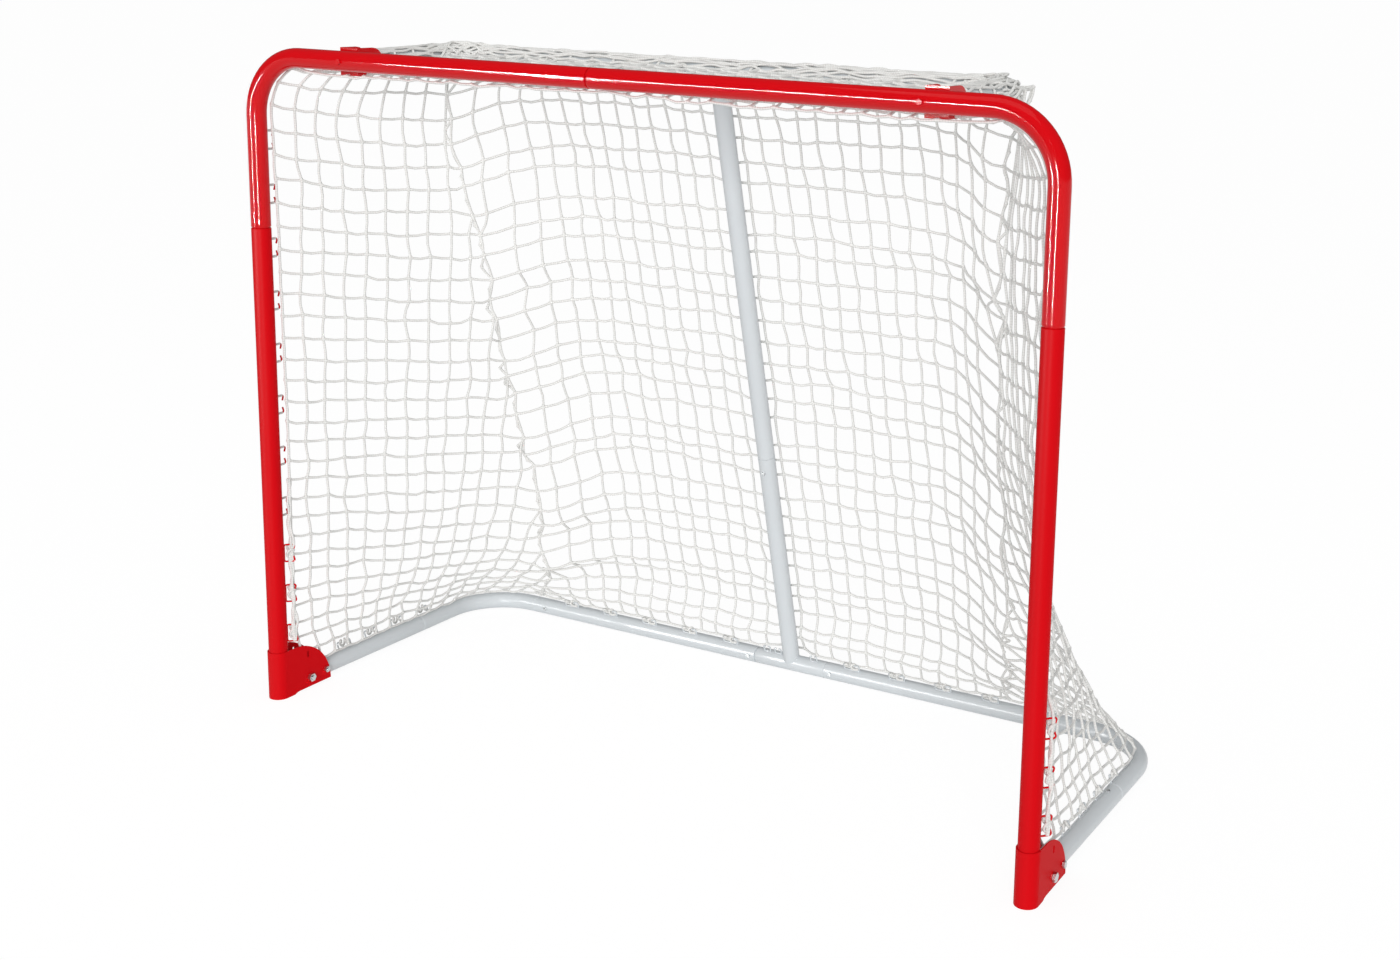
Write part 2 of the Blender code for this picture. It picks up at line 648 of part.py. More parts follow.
def net_mesh(cells, place_at):
    """A grid of cells over a panel; place_at gives a place from two shares, across and up."""
    bm = bmesh.new()
    bmesh.ops.create_grid(bm, x_segments=cells[0], y_segments=cells[1], size=0.5)
    for vert in bm.verts:
        vert.co = place_at(vert.co.x + 0.5, vert.co.y + 0.5)
    mesh = bpy.data.meshes.new("net")
    bm.to_mesh(mesh)
    bm.free()
    return mesh


def add_net(name, cells, place_at):
    """A panel of the cord net, each cell one gap between round cords."""
    net = add_piece(name, net_mesh(cells, place_at), CORD_WHITE)
    modifier = net.modifiers.new("cords", "WIREFRAME")
    modifier.thickness = CORD
    modifier.use_even_offset = False
    modifier.use_boundary = True
    return net


def slack(share):
    """How far the net's corner has fallen in at a share of its height, from none to all."""
    return 1.0 - abs(2.0 * share - 1.0) ** 4


def swell(across, up):
    """How far a panel bows out at a place on it, from none to all."""
    return math.sin(math.pi * across) * math.sin(math.pi * up)


def build_net():
    """The net's back, sides and top, hung on the hooks between the tubes; its corners fall inwards."""
    back = -BAR_FORWARD
    top = SHELF_REAR + back * NET_SEAT
    foot = REAR + BAR_UP * NET_FOOT + back * NET_SEAT

    def back_place(across, up):
        side = 2.0 * across - 1.0
        half = BACK_HALF_BOTTOM + (BACK_HALF_TOP - BACK_HALF_BOTTOM) * up - HANG_INWARD * slack(up)
        forward = HANG_FORWARD * slack(up) * side ** 6
        return foot.lerp(top, up) + X * side * half - Y * forward + back * NET_BULGE * swell(across, up)

    add_net("net_back", BACK_CELLS, back_place)
    for side, sign in (("left", -1), ("right", 1)):
        across = X * sign
        hook_out = facet_normal(Y, Z, 2 * sign)
        beside_hooks = hook_out * (FRONT_R + POST_HOOK_REACH / 2)
        beside_hooks += hook_out.cross(Z) * sign * (HOOK_WIRE + CORD) / 2
        front = across * POST_X + Y * FRONT_Y + beside_hooks
        low_front = front + Z * SIDE_NET_BOTTOM
        high_front = front + Z * SIDE_NET_TOP
        low_rear = REAR + across * (BACK_HALF_BOTTOM + CREASE_GAP) + Z * (NET_SEAT + HOOK_REACH)
        high_rear = SHELF_REAR + across * (ARM_SPREAD + NET_SEAT)
        inset = BASE_BEND / 4
        corner = REAR + across * (POST_X - inset) - Y * inset + Z * (NET_SEAT + HOOK_REACH)
        flare = 2 * corner - low_front - low_rear

        def side_place(behind, up):
            low = 1.0 - min(up / FLARE_SHARE, 1.0)
            fallen = (Y * HANG_FORWARD + across * HANG_INWARD) * slack(up)
            crease = low_rear.lerp(high_rear, up) - fallen
            chord = low_front.lerp(high_front, up).lerp(crease, behind)
            return chord + flare * behind * (1.0 - behind) * low * low

        add_net("net_" + side, SIDE_CELLS, side_place)
    half = ARM_SPREAD - EAR_RADIUS
    lift = Z * NET_SEAT
    near = SHELF_PIVOT - Y * (SHELF_PIVOT_BEHIND - FRONT_R - CORD) + lift
    far = SHELF_REAR + lift

    def top_place(across, up):
        sag = Z * TOP_SAG * swell(across, up)
        return near.lerp(far, up) + X * half * (2.0 * across - 1.0) - sag

    add_net("net_top", TOP_CELLS, top_place)


build_front_frame()
build_foot_brackets()
build_base_frame()
build_centre_bar()
build_shelf()
build_top_brackets()
build_hooks()
build_net()
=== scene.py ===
"""A folding street hockey goal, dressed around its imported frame."""
import math

import bmesh
import bpy
import numpy as np
from mathutils import Matrix, Vector, noise


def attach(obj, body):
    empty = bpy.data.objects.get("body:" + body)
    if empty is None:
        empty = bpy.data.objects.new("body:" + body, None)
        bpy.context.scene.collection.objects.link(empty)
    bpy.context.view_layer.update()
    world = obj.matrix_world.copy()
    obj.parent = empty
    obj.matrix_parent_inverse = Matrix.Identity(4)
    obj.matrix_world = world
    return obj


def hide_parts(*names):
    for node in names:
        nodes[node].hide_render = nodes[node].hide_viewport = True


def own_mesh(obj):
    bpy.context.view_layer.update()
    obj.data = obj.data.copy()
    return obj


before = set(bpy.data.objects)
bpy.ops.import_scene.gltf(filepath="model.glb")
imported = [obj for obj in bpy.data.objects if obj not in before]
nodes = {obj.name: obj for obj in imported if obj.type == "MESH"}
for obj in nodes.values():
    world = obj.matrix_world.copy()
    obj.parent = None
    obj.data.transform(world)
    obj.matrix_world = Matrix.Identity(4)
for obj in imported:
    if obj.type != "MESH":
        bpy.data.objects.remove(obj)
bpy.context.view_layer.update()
scene = bpy.context.scene

X = Vector((1.0, 0.0, 0.0))
Y = Vector((0.0, 1.0, 0.0))
Z = Vector((0.0, 0.0, 1.0))


# Studio floor and light. A pale matt floor runs out of view in every direction. The camera sees it
# almost white, and it keeps a faint shadow. A wide panel and two tall strips, which light no dull
# surface, give the gloss coats their white streaks.
def hex_colour(code):
    """An sRGB hex colour as linear RGBA."""
    channels = [int(code[place:place + 2], 16) / 255 for place in (0, 2, 4)]
    linear = [c / 12.92 if c <= 0.04045 else ((c + 0.055) / 1.055) ** 2.4 for c in channels]
    return (*linear, 1.0)


def add_node(tree, kind, links=None, **settings):
    """Add a node with its settings; links maps an input to a value, to another node's output or to
    a node, which stands for its first output."""
    node = tree.nodes.new(kind)
    for name, value in settings.items():
        setattr(node, name, value)
    for key, value in (links or {}).items():
        if isinstance(value, bpy.types.Node):
            value = value.outputs[0]
        if isinstance(value, bpy.types.NodeSocket):
            tree.links.new(value, node.inputs[key])
        else:
            node.inputs[key].default_value = value
    return node


def new_finish(name):
    """An empty node material and its tree."""
    material = bpy.data.materials.new(name)
    material.use_nodes = True
    material.node_tree.nodes.clear()
    return material, material.node_tree


def placed(name, data):
    """Put a mesh, curve, lamp or camera into the scene as an object."""
    holder = bpy.data.objects.new(name, data)
    scene.collection.objects.link(holder)
    return holder


WHITE = (1.0, 1.0, 1.0, 1.0)
FLOOR_REACH = 100.0
FLOOR_GLOW = 1.06
FLOOR_GLOW_SHARE = 0.86  # the rest stays matt and takes the goal's shadow
AMBIENT_LIGHT = 0.46
AMBIENT_IN_GLOSS = 0.11  # dimmer, so that the red coats keep their depth

# Studio floor paper: matt off-white, which the camera sees as a plain white ground.
studio_floor, tree = new_finish("studio_floor_paper")
ray = add_node(tree, "ShaderNodeLightPath")
seen = add_node(tree, "ShaderNodeMath", {
    0: ray.outputs["Is Camera Ray"], 1: ray.outputs["Is Glossy Ray"]}, operation="MAXIMUM")
seen = add_node(tree, "ShaderNodeMath", {
    0: seen, 1: ray.outputs["Is Transmission Ray"]}, operation="MAXIMUM")
share = add_node(tree, "ShaderNodeMath", {0: seen, 1: FLOOR_GLOW_SHARE}, operation="MULTIPLY")
matt = add_node(tree, "ShaderNodeBsdfDiffuse", {"Color": hex_colour("F4F4F4")})
glow = add_node(tree, "ShaderNodeEmission", {"Color": WHITE, "Strength": FLOOR_GLOW})
both = add_node(tree, "ShaderNodeMixShader", {0: share, 1: matt, 2: glow})
add_node(tree, "ShaderNodeOutputMaterial", {"Surface": both})
mesh = bpy.data.meshes.new("studio_floor")
corners = [(x * FLOOR_REACH, y * FLOOR_REACH, 0) for x, y in ((-1, -1), (1, -1), (1, 1), (-1, 1))]
mesh.from_pydata(corners, [], [(0, 1, 2, 3)])
mesh.materials.append(studio_floor)
floor = placed("studio_floor", mesh)

world = bpy.data.worlds.new("studio_air")
world.use_nodes = True
tree = world.node_tree
tree.nodes.clear()
ray = add_node(tree, "ShaderNodeLightPath")
seen = add_node(tree, "ShaderNodeMath", {
    0: ray.outputs["Is Camera Ray"], 1: ray.outputs["Is Transmission Ray"]}, operation="MAXIMUM")
ambient, mirrored, white = [
    add_node(tree, "ShaderNodeBackground", {"Color": WHITE, "Strength": strength})
    for strength in (AMBIENT_LIGHT, AMBIENT_IN_GLOSS, 1.0)]
unseen = add_node(tree, "ShaderNodeMixShader", {
    0: ray.outputs["Is Glossy Ray"], 1: ambient, 2: mirrored})
both = add_node(tree, "ShaderNodeMixShader", {0: seen, 1: unseen, 2: white})
add_node(tree, "ShaderNodeOutputWorld", {"Surface": both})
scene.world = world
scene.view_settings.view_transform = "Standard"


def add_soft_box(name, place, aim, width, height, power, streak_only=False):
    """A rectangular lamp that faces a point; one for streaks alone shows only in glossy coats."""
    lamp = bpy.data.lights.new(name, "AREA")
    lamp.shape = "RECTANGLE"
    lamp.size = width
    lamp.size_y = height
    lamp.energy = power
    holder = placed(name, lamp)
    holder.location = place
    holder.rotation_euler = (Vector(aim) - Vector(place)).to_track_quat("-Z", "Y").to_euler()
    holder.visible_diffuse = not streak_only


# The panel's streak runs along the crossbar, and the strips' streaks run down the hoop's bends.
add_soft_box("front_left_panel", place=(-2.3, -3.9, 1.00), aim=(-2.3, 0.0, 1.00),
             width=2.9, height=0.30, power=420.0, streak_only=True)
add_soft_box("front_left_strip", place=(-2.56, -3.38, 0.50), aim=(0.2, 0.0, 0.50),
             width=0.12, height=1.5, power=260.0, streak_only=True)
add_soft_box("front_right_strip", place=(1.25, -4.5, 0.45), aim=(0.4, 0.0, 0.45),
             width=0.12, height=1.5, power=330.0, streak_only=True)
add_soft_box("top_soft_box", place=(0.3, -1.2, 4.2), aim=(0.0, 0.0, 0.6),
             width=3.2, height=2.6, power=25.0)

# A broad bounce from the camera's side fills the fronts without adding a streak of its own.
BOUNCE_HEADING = Vector((-0.45, 0.85, -0.20))
bounce = bpy.data.lights.new("front_bounce", "SUN")
bounce.energy = 1.8
bounce.angle = math.radians(30.0)
holder = placed("front_bounce", bounce)
holder.rotation_euler = BOUNCE_HEADING.to_track_quat("-Z", "Y").to_euler()
holder.visible_glossy = False

# The camera stands front right of the goal, a little above the crossbar, and looks slightly down.
CAMERA_PLACE = Vector((1.5441, -2.4011, 1.2823))
CAMERA_YAW = 0.4563
CAMERA_PITCH = 0.1953
CAMERA_ROLL = 0.0314
CAMERA_LENS = 45.855
CAMERA_SHIFT = (-0.1536, -0.1182)
ahead = Vector((-math.sin(CAMERA_YAW) * math.cos(CAMERA_PITCH),
                math.cos(CAMERA_YAW) * math.cos(CAMERA_PITCH), -math.sin(CAMERA_PITCH)))
level = Vector((math.cos(CAMERA_YAW), math.sin(CAMERA_YAW), 0.0))
over = level.cross(ahead)
right = level * math.cos(CAMERA_ROLL) + over * math.sin(CAMERA_ROLL)
up = over * math.cos(CAMERA_ROLL) - level * math.sin(CAMERA_ROLL)
lens = bpy.data.cameras.new("camera")
lens.lens = CAMERA_LENS
lens.sensor_width = 36.0
lens.shift_x, lens.shift_y = CAMERA_SHIFT
lens.clip_end = 400.0
facing = Matrix((right, up, -ahead)).transposed().to_4x4()
camera = placed("camera", lens)
camera.matrix_world = Matrix.Translation(CAMERA_PLACE) @ facing
scene.camera = camera


# The front hoop: 1 1/4 inch steel tube, bent at the corners and powder coated in gloss red. Two
# crossbar halves meet left of the middle, and each turns down and plugs into a straight post.
MOUTH_WIDTH = 1.3716
GOAL_HEIGHT = 1.1176
FRONT_R = 0.03175 / 2
WALL = 0.0015
FIT = 0.0003
FRONT_Y = -0.274968
POST_X = MOUTH_WIDTH / 2 + FRONT_R
BAR_Z = GOAL_HEIGHT - FRONT_R
FRONT_BEND = 0.097
POST_SEAM = 0.820
CROSSBAR_SEAM = -0.037
NECK_LENGTH = 0.045
NECK_TAPER = 0.003
TUBE_SIDES = 48
FLAT = math.cos(math.pi / 16)  # the solids' tubes have 16 sides, and what fits them meets the flats
EASE = 0.0005  # cut edges are broken by this much
CRISP_EDGE = math.radians(40.0)


def new_powder_coat(name, body, shade, roughness, shine):
    """Powder coat: a baked-on plastic skin, which gives an even colour that drifts a little over a
    hand's breadth (9 patches a metre), and gloss broken by orange peel (420 swells a metre)."""
    material, tree = new_finish(name)
    place = add_node(tree, "ShaderNodeTexCoord")
    drift = add_node(tree, "ShaderNodeTexNoise", {
        "Vector": place.outputs["Object"], "Scale": 9.0, "Detail": 3.0})
    tint = add_node(tree, "ShaderNodeMix", {
        0: drift.outputs["Fac"], 6: hex_colour(body), 7: hex_colour(shade)}, data_type="RGBA")
    peel = add_node(tree, "ShaderNodeTexNoise", {
        "Vector": place.outputs["Object"], "Scale": 420.0, "Detail": 1.0})
    bump = add_node(tree, "ShaderNodeBump", {
        "Height": peel.outputs["Fac"], "Strength": 0.05, "Distance": 0.0004})
    dull = add_node(tree, "ShaderNodeMapRange", {
        "Value": drift.outputs["Fac"], "From Min": 0.3, "From Max": 0.7,
        "To Min": roughness - 0.02, "To Max": roughness + 0.03})
    shader = add_node(tree, "ShaderNodeBsdfPrincipled", {
        "Base Color": tint.outputs[2], "Roughness": dull, "Normal": bump,
        "IOR": 1.5, "Specular IOR Level": shine})
    add_node(tree, "ShaderNodeOutputMaterial", {"Surface": shader})
    return material


# The crossbar and its bends shine, and the posts and foot plates have a duller coat of the red.
red_powder_coat = new_powder_coat("red_gloss_powder_coat", "D40B15", "CE0912", 0.07, 0.18)
red_satin_coat = new_powder_coat("red_satin_powder_coat", "D60C16", "D00A13", 0.42, 0.03)


def bent_path(corners, bend, steps=16):
    """Points of a line whose inner corners are bent to a radius."""
    path = [corners[0]]
    for before, corner, after in zip(corners, corners[1:], corners[2:]):
        into = (corner - before).normalized()
        out = (after - corner).normalized()
        turn = into.angle(out)
        start = corner - into * bend * math.tan(turn / 2)
        axis = into.cross(out).normalized()
        spoke = -axis.cross(into) * bend
        path += [start - spoke + Matrix.Rotation(turn * step / steps, 3, axis) @ spoke
                 for step in range(steps + 1)]
    path.append(corners[-1])
    return path


def new_piece(name, mesh, finish, body, slot, replaced=()):
    """Make a mesh into a smooth shaded piece that rides on a CAD body."""
    mesh.name = name
    mesh.materials.clear()
    mesh.materials.append(finish)
    piece = placed(name, mesh)
    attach(piece, body)
    if replaced:
        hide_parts(*replaced)
    return piece


def smooth_edges(mesh):
    """Shade a mesh smooth, with its sharper edges kept crisp."""
    mesh.shade_smooth()
    mesh.set_sharp_from_angle(angle=CRISP_EDGE)


def mesh_of(bm, name):
    """Turn a worked shape into a mesh."""
    mesh = bpy.data.meshes.new(name)
    bm.to_mesh(mesh)
    bm.free()
    return mesh


def tube_mesh(path, radii):
    """A round tube along a path with open, rounded-off ends; radii gives each point's outside."""
    steps = [(after - before).normalized() for before, after in zip(path, path[1:])]
    tangents = [steps[0]] + [(a + b).normalized() for a, b in zip(steps, steps[1:])] + [steps[-1]]
    side = tangents[0].orthogonal().normalized()
    angles = [2 * math.pi * step / TUBE_SIDES for step in range(TUBE_SIDES)]
    rings = []
    for place, tangent, radius in zip(path, tangents, radii):
        side = (side - tangent * side.dot(tangent)).normalized()
        rings.append((place, side, tangent.cross(side), radius))
    rings += [(place, a, b, radius - WALL) for place, a, b, radius in reversed(rings)]
    bm = bmesh.new()
    loops = []
    for place, a, b, radius in rings:
        loops.append([bm.verts.new(place + (a * math.cos(t) + b * math.sin(t)) * radius)
                      for t in angles])
    for here, there in zip(loops, loops[1:] + loops[:1]):
        for step in range(TUBE_SIDES):
            after = (step + 1) % TUBE_SIDES
            bm.faces.new((here[step], here[after], there[after], there[step]))
    bmesh.ops.recalc_face_normals(bm, faces=bm.faces)
    mesh = mesh_of(bm, "tube")
    smooth_edges(mesh)
    return mesh


def plain_end(path, radii):
    """Ease the edge of a cut tube end."""
    along = (path[-1] - path[-2]).normalized()
    end = path.pop()
    radii[-1:] = [radii[-1], radii[-1] - EASE]
    path += [end - along * EASE, end]


def neck_end(path, radii):
    """Shoulder a tube down to the neck that slides into the next one.

    An extra ring before the shoulder keeps the long tube's shading straight.
    """
    seam = path.pop()
    along = (seam - path[-1]).normalized()
    outer = radii.pop()
    neck = outer * FLAT - WALL - FIT
    path += [seam - along * NECK_TAPER * 2, seam - along * NECK_TAPER,
             seam - along * NECK_TAPER * 0.75, seam, seam + along * NECK_LENGTH]
    radii += [outer, outer, outer - 0.0004, neck, neck]


def turned(path, radii, finish_end):
    """Finish the start of a path as its end is finished."""
    path.reverse()
    radii.reverse()
    finish_end(path, radii)
    path.reverse()
    radii.reverse()


def smooth_tube(name, corners, bend, outer, ends, finish, body, slot):
    """A round tube in place of its CAD node, with a plain or a necked end on either side."""
    path = bent_path(corners, bend)
    radii = [outer] * len(path)
    ends[1](path, radii)
    turned(path, radii, ends[0])
    new_piece(name + "_steel", tube_mesh(path, radii), finish, body, slot, (name,))


seam = Vector((CROSSBAR_SEAM, FRONT_Y, BAR_Z))
for side, sign, seam_end in (("left", -1, plain_end), ("right", 1, neck_end)):
    corner, knee, foot = [Vector((sign * POST_X, FRONT_Y, z)) for z in (BAR_Z, POST_SEAM, 0.0)]
    smooth_tube("crossbar_" + side, [seam, corner, knee], FRONT_BEND, FRONT_R, (seam_end, neck_end),
                red_powder_coat, "front_frame", "red_enamel")
    smooth_tube("post_" + side, [foot, knee], 0.0, FRONT_R, (plain_end, plain_end),
                red_satin_coat, "front_frame", "red_enamel")


# The folding base: 30 mm steel tube in light grey powder coat. Side tubes, bent corners and a rear
# tube in two lengths plug together, and the whole frame swings up on the two pivot bolts.
REAR_R = 0.015
PIVOT_BACK = 0.053
BASE_REACH = 0.5004
PIVOT = Vector((0.0, FRONT_Y + PIVOT_BACK, 0.020))
REAR = Vector((0.0, PIVOT.y + BASE_REACH, 0.014712))
TUBE_PAST_PIVOT = 0.012
SIDE_SEAM_BACK = 0.346
BASE_BEND = 0.107
REAR_SEAM = 0.578
TEE_HALF = 0.0734

grey_powder_coat = new_powder_coat("light_grey_powder_coat", "D7DCDF", "D0D5D8", 0.30, 0.18)
slope = (REAR - PIVOT).normalized()
for side, sign in (("left", -1), ("right", 1)):
    across = X * sign * POST_X
    front = PIVOT + across - slope * TUBE_PAST_PIVOT
    seam = PIVOT.lerp(REAR, (SIDE_SEAM_BACK - PIVOT_BACK) / BASE_REACH) + across
    rear_seam = REAR + X * sign * REAR_SEAM
    tee_seam = REAR + X * sign * TEE_HALF
    for name, corners, end in (("side_tube_", [front, seam], plain_end),
                               ("corner_tube_", [seam, REAR + across, rear_seam], neck_end),
                               ("rear_tube_", [rear_seam, tee_seam], plain_end)):
        smooth_tube(name + side, corners, BASE_BEND, REAR_R, (end, end), grey_powder_coat,
                    "base_frame", "grey_enamel")


# The centre bar and its tee: the same grey tube. The lower length is welded to a short tee that
# turns inside the rear tube, and the upper length ends in a saddle against the top shelf's tube.
SHELF_HEIGHT = 1.100025
SHELF_PIVOT_BACK = 0.050
SHELF_REACH = 0.235
SHELF_PIVOT = Vector((0.0, FRONT_Y + SHELF_PIVOT_BACK, SHELF_HEIGHT))
SHELF_REAR = Vector((0.0, SHELF_PIVOT.y + SHELF_REACH, SHELF_HEIGHT))
BAR_SEAM_UP = 0.428
SADDLE_SLOPE = math.radians(35.0)
CUT_REACH = 0.03  # a cutting shape's half length
TEE_EASE = 0.0004
BAR_UP = (SHELF_REAR - REAR).normalized()
BAR_FORWARD = Vector((0.0, -BAR_UP.z, BAR_UP.y))
BAR_SEAM = REAR + BAR_UP * BAR_SEAM_UP


def rod_object(middle, reach, radius, sides=TUBE_SIDES):
    """A closed rod across the goal, used to cut other meshes."""
    start, end = middle - X * reach, middle + X * reach
    bm = bmesh.new()
    along = end - start
    bmesh.ops.create_cone(bm, cap_ends=True, segments=sides, radius1=radius, radius2=radius,
                          depth=along.length)
    turn = Z.rotation_difference(along).to_matrix().to_4x4()
    bm.transform(Matrix.Translation((start + end) / 2) @ turn)
    return placed("cutter", mesh_of(bm, "cutter"))


def finished_mesh(holder, *helpers):
    """The plain mesh of an object with its modifiers done; it and its helpers are then removed."""
    graph = bpy.context.evaluated_depsgraph_get()
    mesh = bpy.data.meshes.new_from_object(holder.evaluated_get(graph))
    for item in (holder, *helpers):
        bpy.data.objects.remove(item, do_unlink=True)
    return mesh


def cut_mesh(mesh, cutters):
    """A mesh with other shapes cut out of it."""
    holder = placed("cut", mesh)
    for cutter in cutters:
        modifier = holder.modifiers.new("cut", "BOOLEAN")
        modifier.operation = "DIFFERENCE"
        modifier.solver = "EXACT"
        modifier.object = cutter
    result = finished_mesh(holder, *cutters)
    smooth_edges(result)
    return result


neck = REAR_R * FLAT - WALL - FIT
path = [REAR - X * part for part in (
    TEE_HALF + NECK_LENGTH, TEE_HALF, TEE_HALF - 0.002, TEE_HALF - 0.003)]
path += [REAR + X * (REAR.x - place.x) for place in reversed(path)]
radii = [neck, neck, REAR_R - TEE_EASE, REAR_R]
radii += list(reversed(radii))
new_piece("tee_sleeve_steel", tube_mesh(path, radii), grey_powder_coat, "bar_lower",
          "grey_enamel", ("tee_sleeve",))
path = [REAR, BAR_SEAM]
radii = [REAR_R, REAR_R]
plain_end(path, radii)
tee_bore = rod_object(REAR, CUT_REACH, REAR_R - TEE_EASE)
mesh = cut_mesh(tube_mesh(path, radii), [tee_bore])
new_piece("centre_bar_lower_steel", mesh, grey_powder_coat, "bar_lower", "grey_enamel",
          ("centre_bar_lower",))

# The upper length's end is cut to a half-round saddle, open on the side that swings off the shelf.
down = Matrix.Rotation(-SADDLE_SLOPE, 3, X) @ -BAR_UP
forward = down.cross(X)
bm = bmesh.new()
bmesh.ops.create_cube(bm, size=2 * CUT_REACH)
bm.transform(Matrix.Translation((0.0, CUT_REACH, REAR_R + FIT - CUT_REACH)))
bm.transform(Matrix.Translation(SHELF_REAR) @ Matrix((X, forward, down)).transposed().to_4x4())
clearance = placed("clearance", mesh_of(bm, "clearance"))
saddle = rod_object(SHELF_REAR, CUT_REACH, REAR_R + FIT)
path = [BAR_SEAM + BAR_UP * FIT, SHELF_REAR]
radii = [REAR_R, REAR_R]
turned(path, radii, plain_end)
mesh = cut_mesh(tube_mesh(path, radii), [saddle, clearance])
new_piece("centre_bar_upper_steel", mesh, grey_powder_coat, "bar_upper", "grey_enamel",
          ("centre_bar_upper",))


# The top shelf: a grey tube U that holds the net up and back behind the crossbar. Its two halves
# plug together in the middle, and its arms hinge in the small red brackets.
ARM_SPREAD = 0.515
SHELF_BEND = 0.055
ARM_PAST_PIVOT = 0.016
for side, sign, middle_end in (("left", -1, plain_end), ("right", 1, neck_end)):
    across = X * sign * ARM_SPREAD
    arm_tip = SHELF_PIVOT + across - Y * ARM_PAST_PIVOT
    smooth_tube("shelf_tube_" + side, [SHELF_REAR, SHELF_REAR + across, arm_tip], SHELF_BEND,
                REAR_R, (middle_end, plain_end), grey_powder_coat, "shelf", "grey_enamel")


# Foot brackets: 2 mm steel sheet bent round the foot of each post and coated with it. Two quarter
# round cheeks hold the pivot bolt and the stop bolt, and a slot in each cheek takes the net's cord.
SHEET = 0.002
BRACKET_R = FRONT_R + FIT + SHEET
PLATE_RADIUS = 0.081
PLATE_CENTRE = 0.020
PLATE_LIFT = 0.003
PLATE_TAIL = PLATE_CENTRE + PLATE_RADIUS
TAIL_HEIGHT = 0.0025
SLOT_BACK = 0.050
SLOT_UP = 0.0635
SLOT_WIDTH = 0.005
SLOT_HEIGHT = 0.012
SLOT_CUT = 0.04
WRAP_STEPS, CHEEK_STEPS, PLATE_ROWS = 32, 28, 10
for side, sign in (("left", -1), ("right", 1)):
    place = Vector((sign * POST_X, FRONT_Y, 0.0))
    middle = BRACKET_R - SHEET / 2
    wrap = [math.pi + math.pi * step / WRAP_STEPS for step in range(WRAP_STEPS + 1)]
    behind = [PLATE_TAIL * math.sin(math.pi / 2 * step / CHEEK_STEPS)
              for step in range(1, CHEEK_STEPS + 1)]
    plan = [(-middle, y) for y in reversed(behind)]
    plan += [(middle * math.cos(a), middle * math.sin(a)) for a in wrap]
    plan += [(middle, y) for y in behind]
    bm = bmesh.new()
    columns = []
    for x, y in plan:
        low = PLATE_LIFT * min(max((y - PLATE_CENTRE) / PLATE_LIFT, 0.0), 1.0)
        reach = max(PLATE_RADIUS ** 2 - max(y - PLATE_CENTRE, 0.0) ** 2, 0.0) ** 0.5
        high = max(PLATE_LIFT + reach, low + TAIL_HEIGHT)
        columns.append([bm.verts.new(place + Vector((x, y, low + (high - low) * row / PLATE_ROWS)))
                        for row in range(PLATE_ROWS + 1)])
    for here, there in zip(columns, columns[1:]):
        for row in range(PLATE_ROWS):
            bm.faces.new((here[row], there[row], there[row + 1], here[row + 1]))
    holder = placed("bracket", mesh_of(bm, "bracket"))
    wall = holder.modifiers.new("sheet", "SOLIDIFY")
    wall.thickness = SHEET
    wall.offset = 0.0
    solid = finished_mesh(holder)
    # The slot: two rods for its round ends and a block between them.
    slot = place + Y * SLOT_BACK + Z * SLOT_UP
    half = (SLOT_HEIGHT - SLOT_WIDTH) / 2
    cutters = [rod_object(slot + Z * lift, SLOT_CUT, SLOT_WIDTH / 2, 24) for lift in (-half, half)]
    bm = bmesh.new()
    bmesh.ops.create_cube(bm, size=1.0)
    block = Matrix.Diagonal((2 * SLOT_CUT, SLOT_WIDTH, 2 * half, 1.0))
    bm.transform(Matrix.Translation(slot) @ block)
    cutters.append(placed("slot", mesh_of(bm, "slot")))
    new_piece("foot_bracket_" + side + "_plate", cut_mesh(solid, cutters), red_satin_coat,
              "front_frame", "red_enamel", ("foot_bracket_" + side,))


# Small steel goods: zinc plated bolts, nuts, rivets and snap buttons, straight from the frame, and
# the red brackets behind the crossbar with their screws, which take the red gloss coat.
def new_zinc(name):
    """Bright zinc plate: a thin blue-grey metal skin with a faint mottle, 4 mm from cloud to cloud,
    which glints small and soft."""
    material, tree = new_finish(name)
    place = add_node(tree, "ShaderNodeTexCoord")
    cloud = add_node(tree, "ShaderNodeTexNoise", {
        "Vector": place.outputs["Object"], "Scale": 260.0, "Detail": 2.0})
    tint = add_node(tree, "ShaderNodeMix", {
        0: cloud, 6: hex_colour("B9BDBF"), 7: hex_colour("D6D8D8")}, data_type="RGBA")
    dull = add_node(tree, "ShaderNodeMapRange", {
        "Value": cloud.outputs["Fac"], "To Min": 0.22, "To Max": 0.38})
    shader = add_node(tree, "ShaderNodeBsdfPrincipled", {
        "Base Color": tint.outputs[2], "Metallic": 1.0, "Roughness": dull})
    add_node(tree, "ShaderNodeOutputMaterial", {"Surface": shader})
    return material


zinc_plate = new_zinc("bright_zinc_plate")
for name, node in nodes.items():
    zinc = any(kind in name for kind in ("bolt", "nut", "button", "rivet"))
    if zinc or name.startswith(("top_bracket", "bracket_screw")):
        node.data.materials.clear()
        node.data.materials.append(zinc_plate if zinc else red_powder_coat)


# Net hooks: 3 mm steel wire bent like an open bracket, with the tips curled in, welded along the
# posts' backs, under the crossbar and on top of the base tubes, and coated with them.
HOOK_WIRE = 0.003
HOOK_FILLET = 0.003
HOOK_REACH = 0.014
HOOK_LENGTH = 0.030
HOOK_CURL = 0.3  # how far along the hook its tips turn in, as a share of its length
POST_HOOK_REACH = 0.018
BAR_HOOK_REACH = 0.010
BAR_HOOK_LENGTH = 0.015
TEE_HOOK_LENGTH = 0.013
